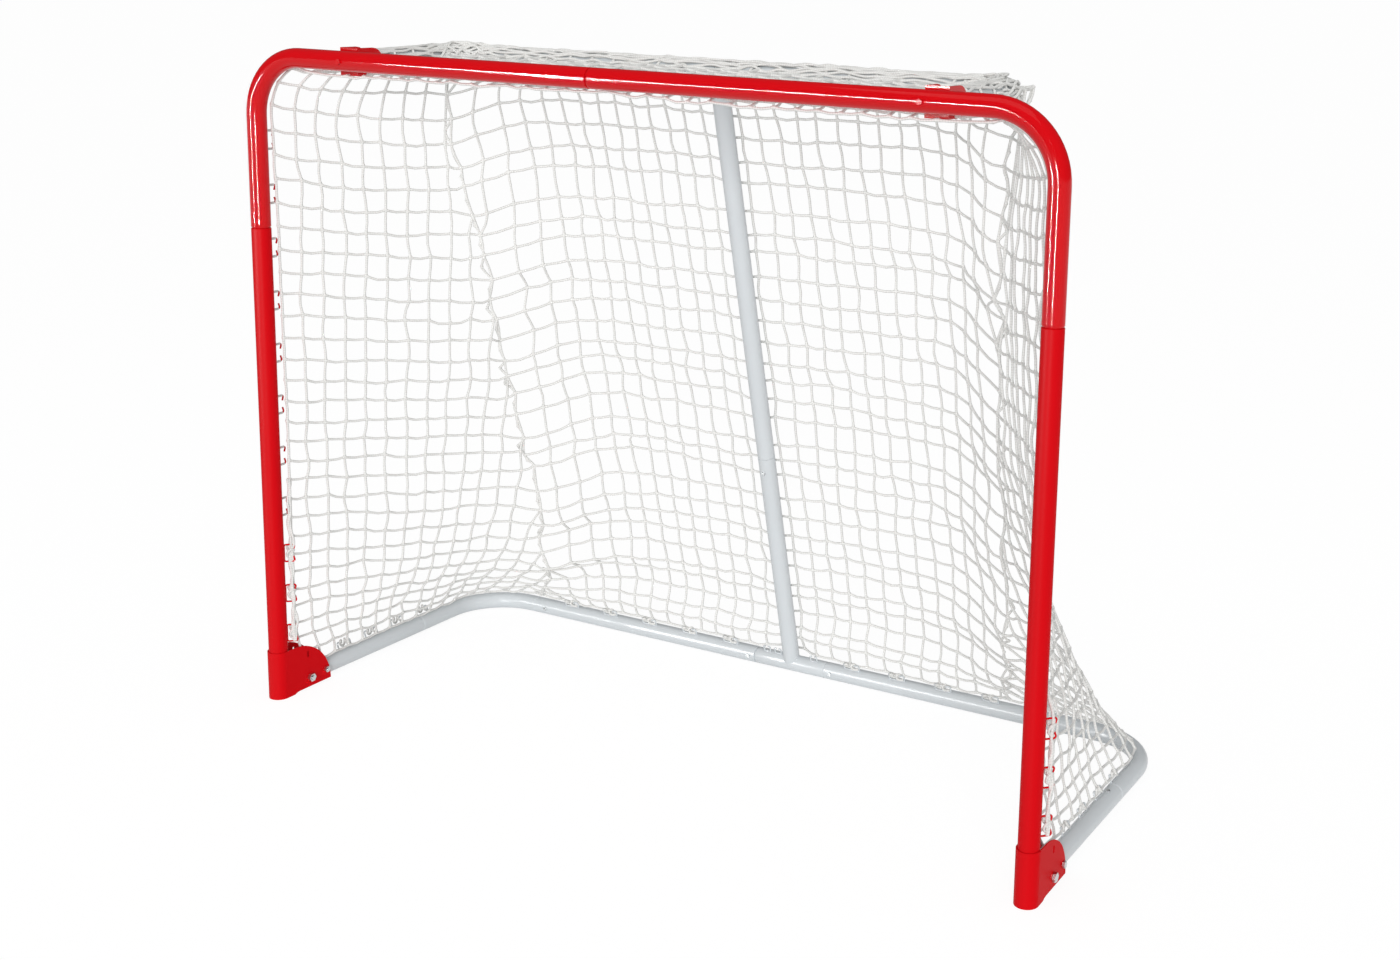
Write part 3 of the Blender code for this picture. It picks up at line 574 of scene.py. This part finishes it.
# Each row of hooks: where its first one starts, their spacing and their number.
LOW_POST_HOOKS = (0.099, 0.072, 3)
HIGH_POST_HOOKS = (0.321, 0.0896, 8)
BAR_HOOKS = (0.160, 0.076, 6)
SIDE_HOOKS = (0.094, 0.068, 4)
REAR_HOOKS = (0.113, 0.091, 5)
TEE_HOOKS = (-0.055, -0.032, 0.043)


def new_tree(name, inputs):
    """An empty geometry node tree with named inputs for its sizes, and the node that gives them."""
    group = bpy.data.node_groups.new(name, "GeometryNodeTree")
    face = group.interface
    for label, kind in {"Geometry": "Geometry", **inputs}.items():
        face.new_socket(label, in_out="INPUT", socket_type="NodeSocket" + kind)
    face.new_socket("Geometry", in_out="OUTPUT", socket_type="NodeSocketGeometry")
    return group, add_node(group, "NodeGroupInput")


def end_tree(group, shape, finish):
    """Close a tree: smooth, made real and coated with its material."""
    shaded = add_node(group, "GeometryNodeSetShadeSmooth", {"Geometry": shape})
    real = add_node(group, "GeometryNodeRealizeInstances", {"Geometry": shaded})
    coated = add_node(group, "GeometryNodeSetMaterial", {"Geometry": real, "Material": finish})
    add_node(group, "NodeGroupOutput", {"Geometry": coated})
    return group


def wire_tree(name):
    """Geometry nodes that round off the corners of lines and give them a round section."""
    group, given = new_tree(name, {
        "Radius": "Float", "Corner radius": "Float", "Sides": "Int", "Finish": "Material"})
    rounded = add_node(group, "GeometryNodeFilletCurve", {
        "Curve": given.outputs["Geometry"], "Count": 4, "Radius": given.outputs["Corner radius"],
        "Limit Radius": True}, mode="POLY")
    ring = add_node(group, "GeometryNodeCurvePrimitiveCircle", {
        "Resolution": given.outputs["Sides"], "Radius": given.outputs["Radius"]})
    skin = add_node(group, "GeometryNodeCurveToMesh", {
        "Curve": rounded, "Profile Curve": ring, "Fill Caps": True})
    return end_tree(group, skin, given.outputs["Finish"])


def lines_object(lines, swell=None):
    """A curve object of straight-edged lines; swell gives each point's share of the full radius."""
    curve = bpy.data.curves.new("lines", "CURVE")
    curve.dimensions = "3D"
    for number, line in enumerate(lines):
        spline = curve.splines.new("POLY")
        spline.points.add(len(line) - 1)
        flat = np.ones((len(line), 4))
        flat[:, :3] = [tuple(place) for place in line]
        spline.points.foreach_set("co", flat.ravel())
        if swell:
            spline.points.foreach_set("radius", swell[number])
    return placed("lines", curve)


def grown_mesh(holder, group, inputs):
    """The plain mesh that a tree makes from an object, with the tree's named inputs set."""
    modifier = holder.modifiers.new("tree", "NODES")
    modifier.node_group = group
    for item in group.interface.items_tree:
        if item.name in inputs:
            modifier[item.identifier] = inputs[item.name]
    return finished_mesh(holder)


def hook_line(foot, along, out, reach, length):
    """The wire's line: back on the tube, two prongs out, and their tips curled in."""
    back_end = foot + along * length
    curl = along * length * HOOK_CURL
    tips = out * (reach - HOOK_WIRE)
    return [foot + curl + tips, foot + out * reach, foot,
            back_end, back_end + out * reach, back_end - curl + tips]


def turned_out(out, along, steps):
    """A direction turned by sixteenths of a circle round a tube."""
    return Matrix.Rotation(steps * math.pi / 8, 3, along) @ out


def marks(first, spacing, count):
    """Where the hooks of a row start along their tube."""
    return [first + spacing * number for number in range(count)]


post_seat = FRONT_R * FLAT
rear_seat = REAR_R * FLAT
front_hooks, base_hooks, tee_hooks = [], [], []
# Hooks that the net's cord loops round, and hooks that it covers up to the tips.
base_hook_places, post_hook_places, covered_hooks = [], [], []
for sign in (-1, 1):
    across = X * sign * POST_X
    low = marks(*LOW_POST_HOOKS)
    for height in low + marks(*HIGH_POST_HOOKS):
        # The low hooks of both posts are turned to the goal's right, and the others point back.
        out = turned_out(Y, Z, -2 if height in low else 0)
        foot = across + Y * FRONT_Y + Z * height + out * post_seat
        front_hooks.append(hook_line(foot, Z, out, POST_HOOK_REACH, HOOK_LENGTH))
        if height in low:
            post_hook_places.append((foot + Z * HOOK_LENGTH / 2, Z, out))
        else:
            covered_hooks.append((foot, out))
    out = turned_out(-Z, X, 2)
    for mark in marks(*BAR_HOOKS):
        foot = Vector((sign * mark, FRONT_Y, BAR_Z)) + out * post_seat
        front_hooks.append(hook_line(foot, X * sign, out, BAR_HOOK_REACH, BAR_HOOK_LENGTH))
    out = turned_out(Z, slope, -1)
    for mark in marks(*SIDE_HOOKS):
        foot = PIVOT + across + out * rear_seat + slope * mark
        base_hooks.append(hook_line(foot, slope, out, HOOK_REACH, HOOK_LENGTH))
        base_hook_places.append((foot + slope * HOOK_LENGTH / 2, slope, out))
    out = turned_out(Z, X, 1)
    for mark in marks(*REAR_HOOKS):
        foot = REAR + X * sign * mark + out * rear_seat
        base_hooks.append(hook_line(foot, X * sign, out, HOOK_REACH, HOOK_LENGTH))
        base_hook_places.append((foot + X * sign * HOOK_LENGTH / 2, X, out))
out = turned_out(Z, X, 1)
for mark in TEE_HOOKS:
    foot = REAR + X * mark + out * rear_seat
    tee_hooks.append(hook_line(foot, X, out, HOOK_REACH, TEE_HOOK_LENGTH))
hook_wire = wire_tree("hook_wire")
for name, lines, finish, body, slot in (
        ("front_net_hooks", front_hooks, red_powder_coat, "front_frame", "red_enamel"),
        ("base_net_hooks", base_hooks, grey_powder_coat, "base_frame", "grey_enamel"),
        ("tee_net_hooks", tee_hooks, grey_powder_coat, "bar_lower", "grey_enamel")):
    mesh = grown_mesh(lines_object(lines), hook_wire, {
        "Radius": HOOK_WIRE / 2, "Corner radius": HOOK_FILLET, "Sides": 10, "Finish": finish})
    new_piece(name, mesh, finish, body, slot)


# The net: 4 mm braided white polyester cord, knotted to 35 mm squares. It is one netting that
# wraps from post to post round the sides and the back, and over the shelf to the crossbar.
CORD_R = 0.0021
CELL = 0.0355
ROWS = 31
KNOT_SWELL = 1.5
BRAID_TURN = 0.016
NET_SEED = 11
random = np.random.default_rng(NET_SEED)
noise.seed_set(NET_SEED)  # Blender's noise takes its seed from the clock unless it is given one


def new_cord_finish(name):
    """Braided polyester: white strands crossing in a herring-bone, which look dull and soft, with
    painted shade, a darker grey, in the braid's grooves, and a faint soiling in patches of about 7
    cm."""
    material, tree = new_finish(name)
    braid = add_node(tree, "ShaderNodeAttribute", attribute_name="braid")
    parts = add_node(tree, "ShaderNodeSeparateXYZ", {"Vector": braid.outputs["Vector"]})
    around = add_node(tree, "ShaderNodeMath", {
        0: parts.outputs["Y"], 1: parts.outputs["X"]}, operation="ARCTAN2")
    # One turn of a strand takes 16 mm of cord, drawn coarser than the real braid so that it shows.
    along = add_node(tree, "ShaderNodeMath", {
        0: parts.outputs["Z"], 1: 2 * math.pi / BRAID_TURN}, operation="MULTIPLY")
    waves = []
    for turn in ("ADD", "SUBTRACT"):
        lean = add_node(tree, "ShaderNodeMath", {0: along, 1: around}, operation=turn)
        fast = add_node(tree, "ShaderNodeMath", {0: lean, 1: 2.0}, operation="MULTIPLY")
        waves.append(add_node(tree, "ShaderNodeMath", {0: fast}, operation="SINE"))
    strand = add_node(tree, "ShaderNodeMath", {0: waves[0], 1: waves[1]}, operation="MULTIPLY")
    height = add_node(tree, "ShaderNodeMapRange", {
        "Value": strand, "From Min": -1.0, "From Max": 1.0})
    place = add_node(tree, "ShaderNodeTexCoord")
    soil = add_node(tree, "ShaderNodeTexNoise", {
        "Vector": place.outputs["Object"], "Scale": 14.0, "Detail": 2.0})
    fresh = add_node(tree, "ShaderNodeMix", {
        0: soil.outputs["Fac"], 6: hex_colour("F0F0EE"), 7: hex_colour("E8E8E5")}, data_type="RGBA")
    # Painted shade: where the braid's height is low, in its grooves, the cord is coloured a darker
    # grey.
    tint = add_node(tree, "ShaderNodeMix", {
        0: height, 6: hex_colour("D8D8D5"), 7: fresh.outputs[2]}, data_type="RGBA")
    bump = add_node(tree, "ShaderNodeBump", {
        "Height": height, "Strength": 0.5, "Distance": 0.0006})
    shader = add_node(tree, "ShaderNodeBsdfPrincipled", {
        "Base Color": tint.outputs[2], "Roughness": 0.75, "Normal": bump,
        "Sheen Weight": 0.1})
    add_node(tree, "ShaderNodeOutputMaterial", {"Surface": shader})
    return material


def cord_tree(name):
    """Geometry nodes that give lines a cord's round section and note its length and its turn."""
    group, given = new_tree(name, {"Radius": "Float", "Sides": "Int", "Finish": "Material"})
    spline = add_node(group, "GeometryNodeSplineParameter")
    measured = add_node(group, "GeometryNodeStoreNamedAttribute", {
        "Geometry": given.outputs["Geometry"], "Name": "along", "Value": spline.outputs["Length"]})
    ring = add_node(group, "GeometryNodeCurvePrimitiveCircle", {
        "Resolution": given.outputs["Sides"], "Radius": given.outputs["Radius"]})
    angle = add_node(group, "ShaderNodeMath", {
        0: spline.outputs["Factor"], 1: 2 * math.pi}, operation="MULTIPLY")
    for label, operation in (("across", "COSINE"), ("over", "SINE")):
        part = add_node(group, "ShaderNodeMath", {0: angle}, operation=operation)
        ring = add_node(group, "GeometryNodeStoreNamedAttribute", {
            "Geometry": ring, "Name": label, "Value": part})
    swell = add_node(group, "GeometryNodeInputRadius")
    skin = add_node(group, "GeometryNodeCurveToMesh", {
        "Curve": measured, "Profile Curve": ring, "Scale": swell,
        "Fill Caps": True})
    named = [add_node(group, "GeometryNodeInputNamedAttribute", {"Name": label})
             for label in ("across", "over", "along")]
    braid = add_node(group, "ShaderNodeCombineXYZ", dict(zip("XYZ", named)))
    noted = add_node(group, "GeometryNodeStoreNamedAttribute", {
        "Geometry": skin, "Name": "braid", "Value": braid}, data_type="FLOAT_VECTOR")
    return end_tree(group, noted, given.outputs["Finish"])


def measured_line(points):
    """A function of the share of a line's length that gives the place there, and the length."""
    points = np.array([tuple(place) for place in points])
    steps = np.linalg.norm(np.diff(points, axis=0), axis=1)
    ends = np.concatenate([[0.0], np.cumsum(steps)])

    def place_at(share):
        """The place at a share of the whole length."""
        return np.array([np.interp(share * ends[-1], ends, points[:, axis]) for axis in range(3)])

    return place_at, ends[-1]


WAVER = 0.0009
SLACK = 0.0022
TOP_SLACK = 0.002


def cell_points(knots, slack):
    """The points of one cord through its knots, on a smooth curve that droops a little between
    them, and its share of the full radius at each: a knot is half as thick again."""
    knots = np.array(knots)
    before = np.vstack([2 * knots[0] - knots[1], knots[:-1]])
    after = np.vstack([knots[1:], 2 * knots[-1] - knots[-2]])
    slopes = (after - before) / 2
    line, radii = [], []
    for a, b, s, e in zip(knots, knots[1:], slopes, slopes[1:]):
        side = random.normal(0.0, WAVER, 3)
        for t, swell in ((0.0, KNOT_SWELL), (0.13, 1.0), (0.5, 1.0), (0.87, 1.0)):
            place = ((2 * t ** 3 - 3 * t ** 2 + 1) * a + (t ** 3 - 2 * t ** 2 + t) * s
                     + (3 * t ** 2 - 2 * t ** 3) * b + (t ** 3 - t ** 2) * e)
            bow = 4 * t * (1 - t)
            line.append(place + bow * side - np.array([0.0, 0.0, slack * bow]))
            radii.append(swell)
    line.append(knots[-1])
    radii.append(KNOT_SWELL)
    return line, radii


SWAYS_PER_METRE = 5
SWAY = 0.007


def drift(place, seed):
    """A slow sway of the hanging net, the same at the same place."""
    x, y, z = (float(part) * SWAYS_PER_METRE for part in place)
    return np.array(noise.noise_vector(Vector((x + seed, y, z)))) * SWAY


# Each row's place down the net as a share, 0 at the top: the upper rows are stretched a little.
row_shares = [row / ROWS * (1.1 - 0.1 * row / ROWS) for row in range(ROWS + 1)]
CREASE_SAG = (0.004, 0.040)
BACK_SAG = 0.042
back_seat = np.array(tuple(-BAR_FORWARD)) * (REAR_R + 0.004)
CREASE_TOP = (0.533, SHELF_REAR.y + back_seat[1], SHELF_REAR.z + 0.008)
# The corner of the net hangs from the shelf's corner, falls in towards the mouth as it has slack,
# and is drawn back to the rear tube at the foot, at a different place on each side.
HANG = {-1: [(0.538, -0.012, 1.045), (0.522, -0.016, 0.970), (0.503, 0.005, 0.860),
             (0.490, 0.038, 0.740), (0.484, 0.075, 0.580), (0.479, 0.114, 0.450),
             (0.474, 0.150, 0.290), (0.492, 0.196, 0.150), (0.528, 0.240, 0.080),
             (0.562, REAR.y - 0.006, 0.040)],
        1: [(0.527, -0.010, 1.045), (0.519, -0.034, 0.970), (0.510, -0.016, 0.860),
            (0.502, 0.016, 0.740), (0.491, 0.056, 0.580), (0.483, 0.100, 0.450),
            (0.474, 0.148, 0.290), (0.458, 0.196, 0.150), (0.436, 0.240, 0.080),
            (0.420, REAR.y - 0.006, 0.040)]}
# The front edge runs inside the hoop's bend and down the back of the post, in places across, behind
# the hoop and up. A bend is given by its middle and its radius.
EDGE_START = (0.600, 0.012, 1.0800)
EDGE_BEND = (0.6047, 1.0047, 0.085)
EDGE_DOWN = [(0.6875, 0.0205, 0.950), (0.6850, 0.0215, 0.800), (0.6835, 0.0225, 0.400),
             (0.6850, 0.0240, 0.120), (0.6900, 0.050, 0.045)]
TOP_EDGE = [(0.548, -0.215, 1.100), (0.536, -0.100, 1.112)]
# The foot runs along the side tube and round the base's bend.
FOOT_START = (0.693, -0.100, 0.041)
FOOT_BEND = (0.5947, 0.171, 0.100)
FOOT_HEIGHT = 0.038
ROW_DIP = 0.022
SIDE_BULGE = 0.010
SIDE_SAG = 0.010
CREASE_JOG = 0.004
KNOT_JOG = 0.0016
BOUND = 0.3  # how much of the sway is left in the top and bottom rows, which are laced to steel


def lower(share):
    """Where a row leaves the front edge: a little below the place it would have in even rows."""
    return share + ROW_DIP * math.sin(math.pi * min(share, 0.999)) ** 0.8


def side_rows(sign):
    """The knots of one side of the net, row by row from the front edge to the crease."""
    x, z, radius = EDGE_BEND
    bend = [(x + radius * math.sin(t), FRONT_Y + 0.016 + 0.004 * step / 8, z + radius * math.cos(t))
            for step, t in enumerate(math.pi / 2 * part / 8 for part in range(9))]
    edge = [(x, FRONT_Y + y, z) for x, y, z in [EDGE_START] + EDGE_DOWN]
    front, _ = measured_line(edge[:1] + bend + edge[1:])
    crease, _ = measured_line([CREASE_TOP] + HANG[sign])
    top, _ = measured_line([front(0.0)] + TOP_EDGE + [CREASE_TOP])
    x, y, radius = FOOT_BEND
    round_bend = [(x + radius * math.cos(t), y + radius * math.sin(t), FOOT_HEIGHT)
                  for t in (math.pi / 2 * part / 6 for part in range(7))]
    bottom, _ = measured_line([front(1.0), FOOT_START] + round_bend + [crease(1.0)])
    rows = []
    for number, v in enumerate(row_shares):
        fine = []
        jog = drift((sign, 0.0, 4.0 * v), 7.0) + random.normal(0.0, CREASE_JOG, 3)
        jog = jog * min(12 * v, 12 * (1 - v), 1.0)
        sag = (CREASE_SAG[0] + CREASE_SAG[1] * v) * min(v * 9, 1.0) * min((1 - v) * 5, 1.0)
        # The uppermost rows follow the top edge's curve, and the lower ones turn to the foot's.
        high = max(1 - v / 0.14, 0.0) ** 2
        low = max((v - 0.45) / 0.55, 0.0) ** 1.7
        for s in np.linspace(0.0, 1.0, 61):
            place = (1 - s) * front(lower(v)) + s * crease(v)
            place += high * (top(s) - (1 - s) * front(0.0) - s * crease(0.0))
            place += low * (bottom(s) - (1 - s) * front(1.0) - s * crease(1.0))
            place[0] += SIDE_BULGE * math.sin(math.pi * s) * math.sin(math.pi * v)
            place[2] -= sag * s ** 1.3
            place[2] -= SIDE_SAG * math.sin(math.pi * s) * (1 - low)
            fine.append(place)
        row, length = measured_line(fine)
        count = int(length / CELL - 0.25)
        knots = [row(step * CELL / length) for step in range(count + 1)] + [row(1.0)]
        knots = [place * np.array([sign, 1.0, 1.0]) for place in knots]
        free = BOUND if number in (0, ROWS) else 1.0
        inner = [place + free * (drift(place, 3.0) + random.normal(0.0, KNOT_JOG, 3))
                 for place in knots[1:-1]]
        rows.append([knots[0]] + inner + [knots[-1] + jog])
    return rows


LOOP_ASIDE, STRAND_ASIDE, LOOP_CHANCE = 0.012, 0.0025, 0.25


def side_lines(rows):
    """The cords of one side: its rows, a bound cord along the crease with a loop here and there,
    and its columns, each cut off where it meets the crease."""
    lines = [cell_points(row, SLACK) for row in rows]
    crease = [row[-1] for row in rows]
    lines.append(cell_points(crease, 0.0))
    bound = []
    for above, below in zip(crease, crease[1:]):
        aside = LOOP_ASIDE if random.random() < LOOP_CHANCE else STRAND_ASIDE
        aside = math.copysign(aside, above[0])
        bound += [above, (above + below) / 2 + np.array([aside, -0.002, 0.0])]
    lines.append(cell_points(bound + [crease[-1]], 0.0))
    for step in range(max(len(row) - 1 for row in rows)):
        column = []
        for number, row in enumerate(rows):
            if step < len(row) - 1:
                if not column and number:
                    column.append(rows[number - 1][-1])
                column.append(row[step])
        if len(column) > 1:
            lines.append(cell_points(column, 0.0))
    return lines


def cord_mesh(lines, swell):
    """Lines as cords, each point with its share of the full radius."""
    return grown_mesh(lines_object(lines, swell), net_cord_tree, {
        "Radius": CORD_R, "Sides": 8, "Finish": net_cord})


def add_net_piece(name, lines, replaced):
    """A panel of the net as one piece, which rides on the front frame."""
    mesh = cord_mesh([line for line, _ in lines], [radii for _, radii in lines])
    piece = new_piece(name, mesh, net_cord, "front_frame", "net_cord", replaced)
    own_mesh(piece)


net_cord = new_cord_finish("braided_white_polyester_cord")
net_cord_tree = cord_tree("braided_cord")
sides = {sign: side_rows(sign) for sign in (-1, 1)}
add_net_piece("net_left_cords", side_lines(sides[-1]), ("net_left",))
add_net_piece("net_right_cords", side_lines(sides[1]), ("net_right",))

COLUMNS = [(place - 14.5) * CELL for place in range(30)]
CROWDED = CELL * 0.6


def across_row(left, right, place_at):
    """A row's knots by column, from the left crease to the right one, without crowded columns."""
    row = {-1: left}
    for number, x in enumerate(COLUMNS):
        if left[0] + CROWDED < x < right[0] - CROWDED:
            base = left + (right - left) * (x - left[0]) / (right[0] - left[0])
            row[number] = place_at(x, base)
    row[len(COLUMNS)] = right
    return row


def panel_lines(rows, slack):
    """The cords of a panel: each row, and each column for as far as it runs."""
    lines = [cell_points(list(row.values()), slack) for row in rows]
    for number, x in enumerate(COLUMNS):
        edge = -1 if x < 0 else len(COLUMNS)
        column = []
        above = None
        for row in rows:
            if number in row:
                if above and not column:
                    column.append(above[edge])
                column.append(row[number])
            elif column:
                lines.append(cell_points(column + [row[edge]], 0.0))
                column = []
            above = row
        if len(column) > 1:
            lines.append(cell_points(column, 0.0))
    return lines


BACK_BULGE = 0.014
TEE_CLEARANCE = 0.024
SIDE_FALL = (0.075, 1.5)  # how far from a crease the back still sags with it, and how sharply
DEPTH_FALL = (0.09, 1.6)
back_rows = []
for number, v in enumerate(row_shares):
    left, right = sides[-1][number][-1], sides[1][number][-1]
    sag = BACK_SAG * min(v * 9, 1.0) * min((1 - v) * 5, 1.0)

    def back_place(x, base):
        """A knot of the back: behind the bar in the middle, and falling in near the creases."""
        near = min(x - left[0], right[0] - x)
        base[2] += sag * (1 - math.exp(-(near / SIDE_FALL[0]) ** SIDE_FALL[1]))
        hung = 1 - math.exp(-(near / DEPTH_FALL[0]) ** DEPTH_FALL[1])
        up = (base[2] - REAR.z) / (SHELF_REAR.z - REAR.z)
        plane = np.array(tuple(REAR.lerp(SHELF_REAR, up))) + back_seat
        behind = BACK_BULGE * math.sin(math.pi * v) * min(abs(x) / 0.1, 1.0)
        base[1] += hung * (plane[1] + behind - base[1]) * min((1 - v) * 12, 1.0)
        # At the foot the net passes behind the tee.
        foot = max(v - 0.93, 0.0) / 0.07
        base[1] += foot * TEE_CLEARANCE * math.exp(-(x / 0.04) ** 2)
        free = BOUND if number in (0, ROWS) else 1.0
        sway = drift(base, 9.0) * np.array([1.0, 0.4, 1.0]) + random.normal(0.0, 0.0013, 3)
        sway[1] = abs(sway[1]) if abs(x) < 0.05 else sway[1]
        return base + free * sway

    back_rows.append(across_row(left, right, back_place))
add_net_piece("net_back_cords", panel_lines(back_rows, SLACK), ("net_back",))


def top_place(x, base):
    """A knot of the top, a little slack between the crossbar and the shelf."""
    return base + (drift(base, 5.0) * np.array([1.0, 1.0, 0.5]) + random.normal(0.0, 0.0012, 3))


top_rows = [across_row(left, right, top_place)
            for left, right in zip(sides[-1][0][:-1], sides[1][0][:-1])]
top_rows.append(back_rows[0])
add_net_piece("net_top_cords", panel_lines(top_rows, TOP_SLACK), ("net_top",))


# Lacing: the same cord. The net's gathered top edge is bound round the shelf's tube in a spiral.
# Its foot and its front edges are caught in small loops over the hooks of the base and the posts'
# lower hooks, and more cord is wound over the posts' upper hooks.
STRANDS = 13
STRAND_FIRST = -35.0
STRAND_FAN = 14.0  # degrees round the tube from one strand to the next
STRAND_STEPS = 460
CORNER_SHARES = (0.145, 0.855)
CORNER_STRANDS = 14
CORNER_FIRST = 15.0
SPIRAL_RISE = 0.042
SPIRAL_STEPS = 14
SPIRAL_SHARES = ((0.0, 0.485), (0.515, 1.0))


def add_lacing(name, lines, body):
    """Cords as one piece that rides on the steel it is wound round."""
    mesh = cord_mesh(lines, [[1.0] * len(line) for line in lines])
    new_piece(name, mesh, net_cord, body, "net_cord")


arm_end = SHELF_PIVOT.y + 0.006
rail, rail_length = measured_line(bent_path([
    Vector((-ARM_SPREAD, arm_end, SHELF_HEIGHT)), SHELF_REAR - X * ARM_SPREAD,
    SHELF_REAR + X * ARM_SPREAD, Vector((ARM_SPREAD, arm_end, SHELF_HEIGHT))], SHELF_BEND))


def round_rail(share, turn, lift):
    """A place on the shelf's tube, lifted off it: inside at no turn, and on top at a quarter."""
    here = Vector(rail(share))
    ahead = Vector(rail(min(share + 0.001, 1.0))) - Vector(rail(max(share - 0.001, 0.0)))
    ahead = ahead.normalized()
    outward = Z.cross(ahead) * -math.cos(turn) + Z * math.sin(turn)
    return here + outward * (REAR_R + CORD_R + lift)


def cord_wave(along, seed):
    """How a loose cord wanders along its length."""
    return noise.noise_vector(Vector((along + seed, seed, 0.0)))


lines = []
for count in range(STRANDS):
    first = math.radians(STRAND_FIRST + STRAND_FAN * count)
    seed = random.uniform(0.0, 50.0)
    line = []
    for step in range(STRAND_STEPS + 1):
        share = 0.005 + 0.99 * step / STRAND_STEPS
        wave = cord_wave(share * 34, seed)
        lift = (0.0022 + 0.0045 * abs(wave.y)) * min(share * 12, (1 - share) * 12, 1.0)
        line.append(round_rail(share, first + 0.42 * wave.x, lift))
    lines.append(line)
# At the shelf's corners shorter strands are drawn together and stand off the tube in an arch.
for corner in CORNER_SHARES:
    for count in range(CORNER_STRANDS):
        first = math.radians(CORNER_FIRST + STRAND_FAN * count)
        reach = 0.045 + 0.02 * random.random()
        seed = random.uniform(0.0, 50.0)
        line = []
        for step in range(61):
            t = step / 60
            wave = cord_wave(t * 5, seed)
            share = min(max(corner + reach * (2 * t - 1), 0.0), 1.0)
            lift = (0.004 + 0.010 * abs(wave.y)) * math.sin(math.pi * t) ** 0.5
            line.append(round_rail(share, first + 0.7 * wave.x, lift))
        lines.append(line)
for first, last in SPIRAL_SHARES:
    steps = int((last - first) * rail_length / SPIRAL_RISE) * SPIRAL_STEPS
    lines.append([
        round_rail(first + (last - first) * step / steps, step * 2 * math.pi / SPIRAL_STEPS, 0.0004)
        for step in range(steps + 1)])
add_lacing("shelf_lacing_cords", lines, "shelf")

LOOP_TURNS = 1.8
LOOP_STEPS = 32
EDGE_STRANDS = 5
EDGE_STRAND_FOOT = 0.100
EDGE_STRAND_LENGTH = 0.290
EDGE_STRAND_STEPS = 130


def hook_loop(place, along, out):
    """A loop of cord caught on a hook, nearly two turns of it."""
    side = along.cross(out)
    line = []
    for step in range(LOOP_STEPS + 1):
        t = step / LOOP_STEPS
        turn = 2 * math.pi * LOOP_TURNS * t + random.uniform(0.0, 0.2)
        line.append(place + along * (0.022 * (t - 0.5) + 0.005 * math.cos(turn))
                    + out * (0.010 + 0.0055 * math.sin(turn))
                    + side * 0.004 * math.sin(2 * math.pi * t * 1.5))
    return line


def edge_strand(sign):
    """A gathered cord of the net's front edge, which runs down through the post's low hooks."""
    seed = random.uniform(0.0, 50.0)
    line = []
    for step in range(EDGE_STRAND_STEPS + 1):
        height = EDGE_STRAND_FOOT + EDGE_STRAND_LENGTH * step / EDGE_STRAND_STEPS
        high = min(max((height - 0.27) / 0.10, 0.0), 1.0)
        turn = math.pi / 4 * (1 - high) - sign * math.pi / 4 * high
        wave = noise.noise_vector(Vector((height * 26, seed, 0.0))) * 0.0055
        out = Vector((math.sin(turn), math.cos(turn), 0.0))
        line.append(Vector((sign * POST_X, FRONT_Y, height))
                    + out * (FRONT_R + 0.010 + abs(wave.x)) + Vector((wave.y, wave.z, 0.0)))
    return line


def wound_cord(foot, out):
    """Cord wound over one of a post's upper hooks, which leaves only its red tips bare."""
    inner, outer = CORD_R, POST_HOOK_REACH - 0.004
    top = foot + Z * HOOK_LENGTH
    return ([foot + out * (outer + (inner - outer) * step / 8) for step in range(8)]
            + [foot + out * inner + Z * HOOK_LENGTH * step / 12 for step in range(13)]
            + [top + out * (inner + (outer - inner) * step / 8) for step in range(1, 9)])


add_lacing("base_lacing_cords", [hook_loop(*hook) for hook in base_hook_places], "base_frame")
lines = [hook_loop(*hook) for hook in post_hook_places]
lines += [edge_strand(sign) for sign in (-1, 1) for count in range(EDGE_STRANDS)]
lines += [wound_cord(*hook) for hook in covered_hooks]
add_lacing("post_lacing_cords", lines, "front_frame")
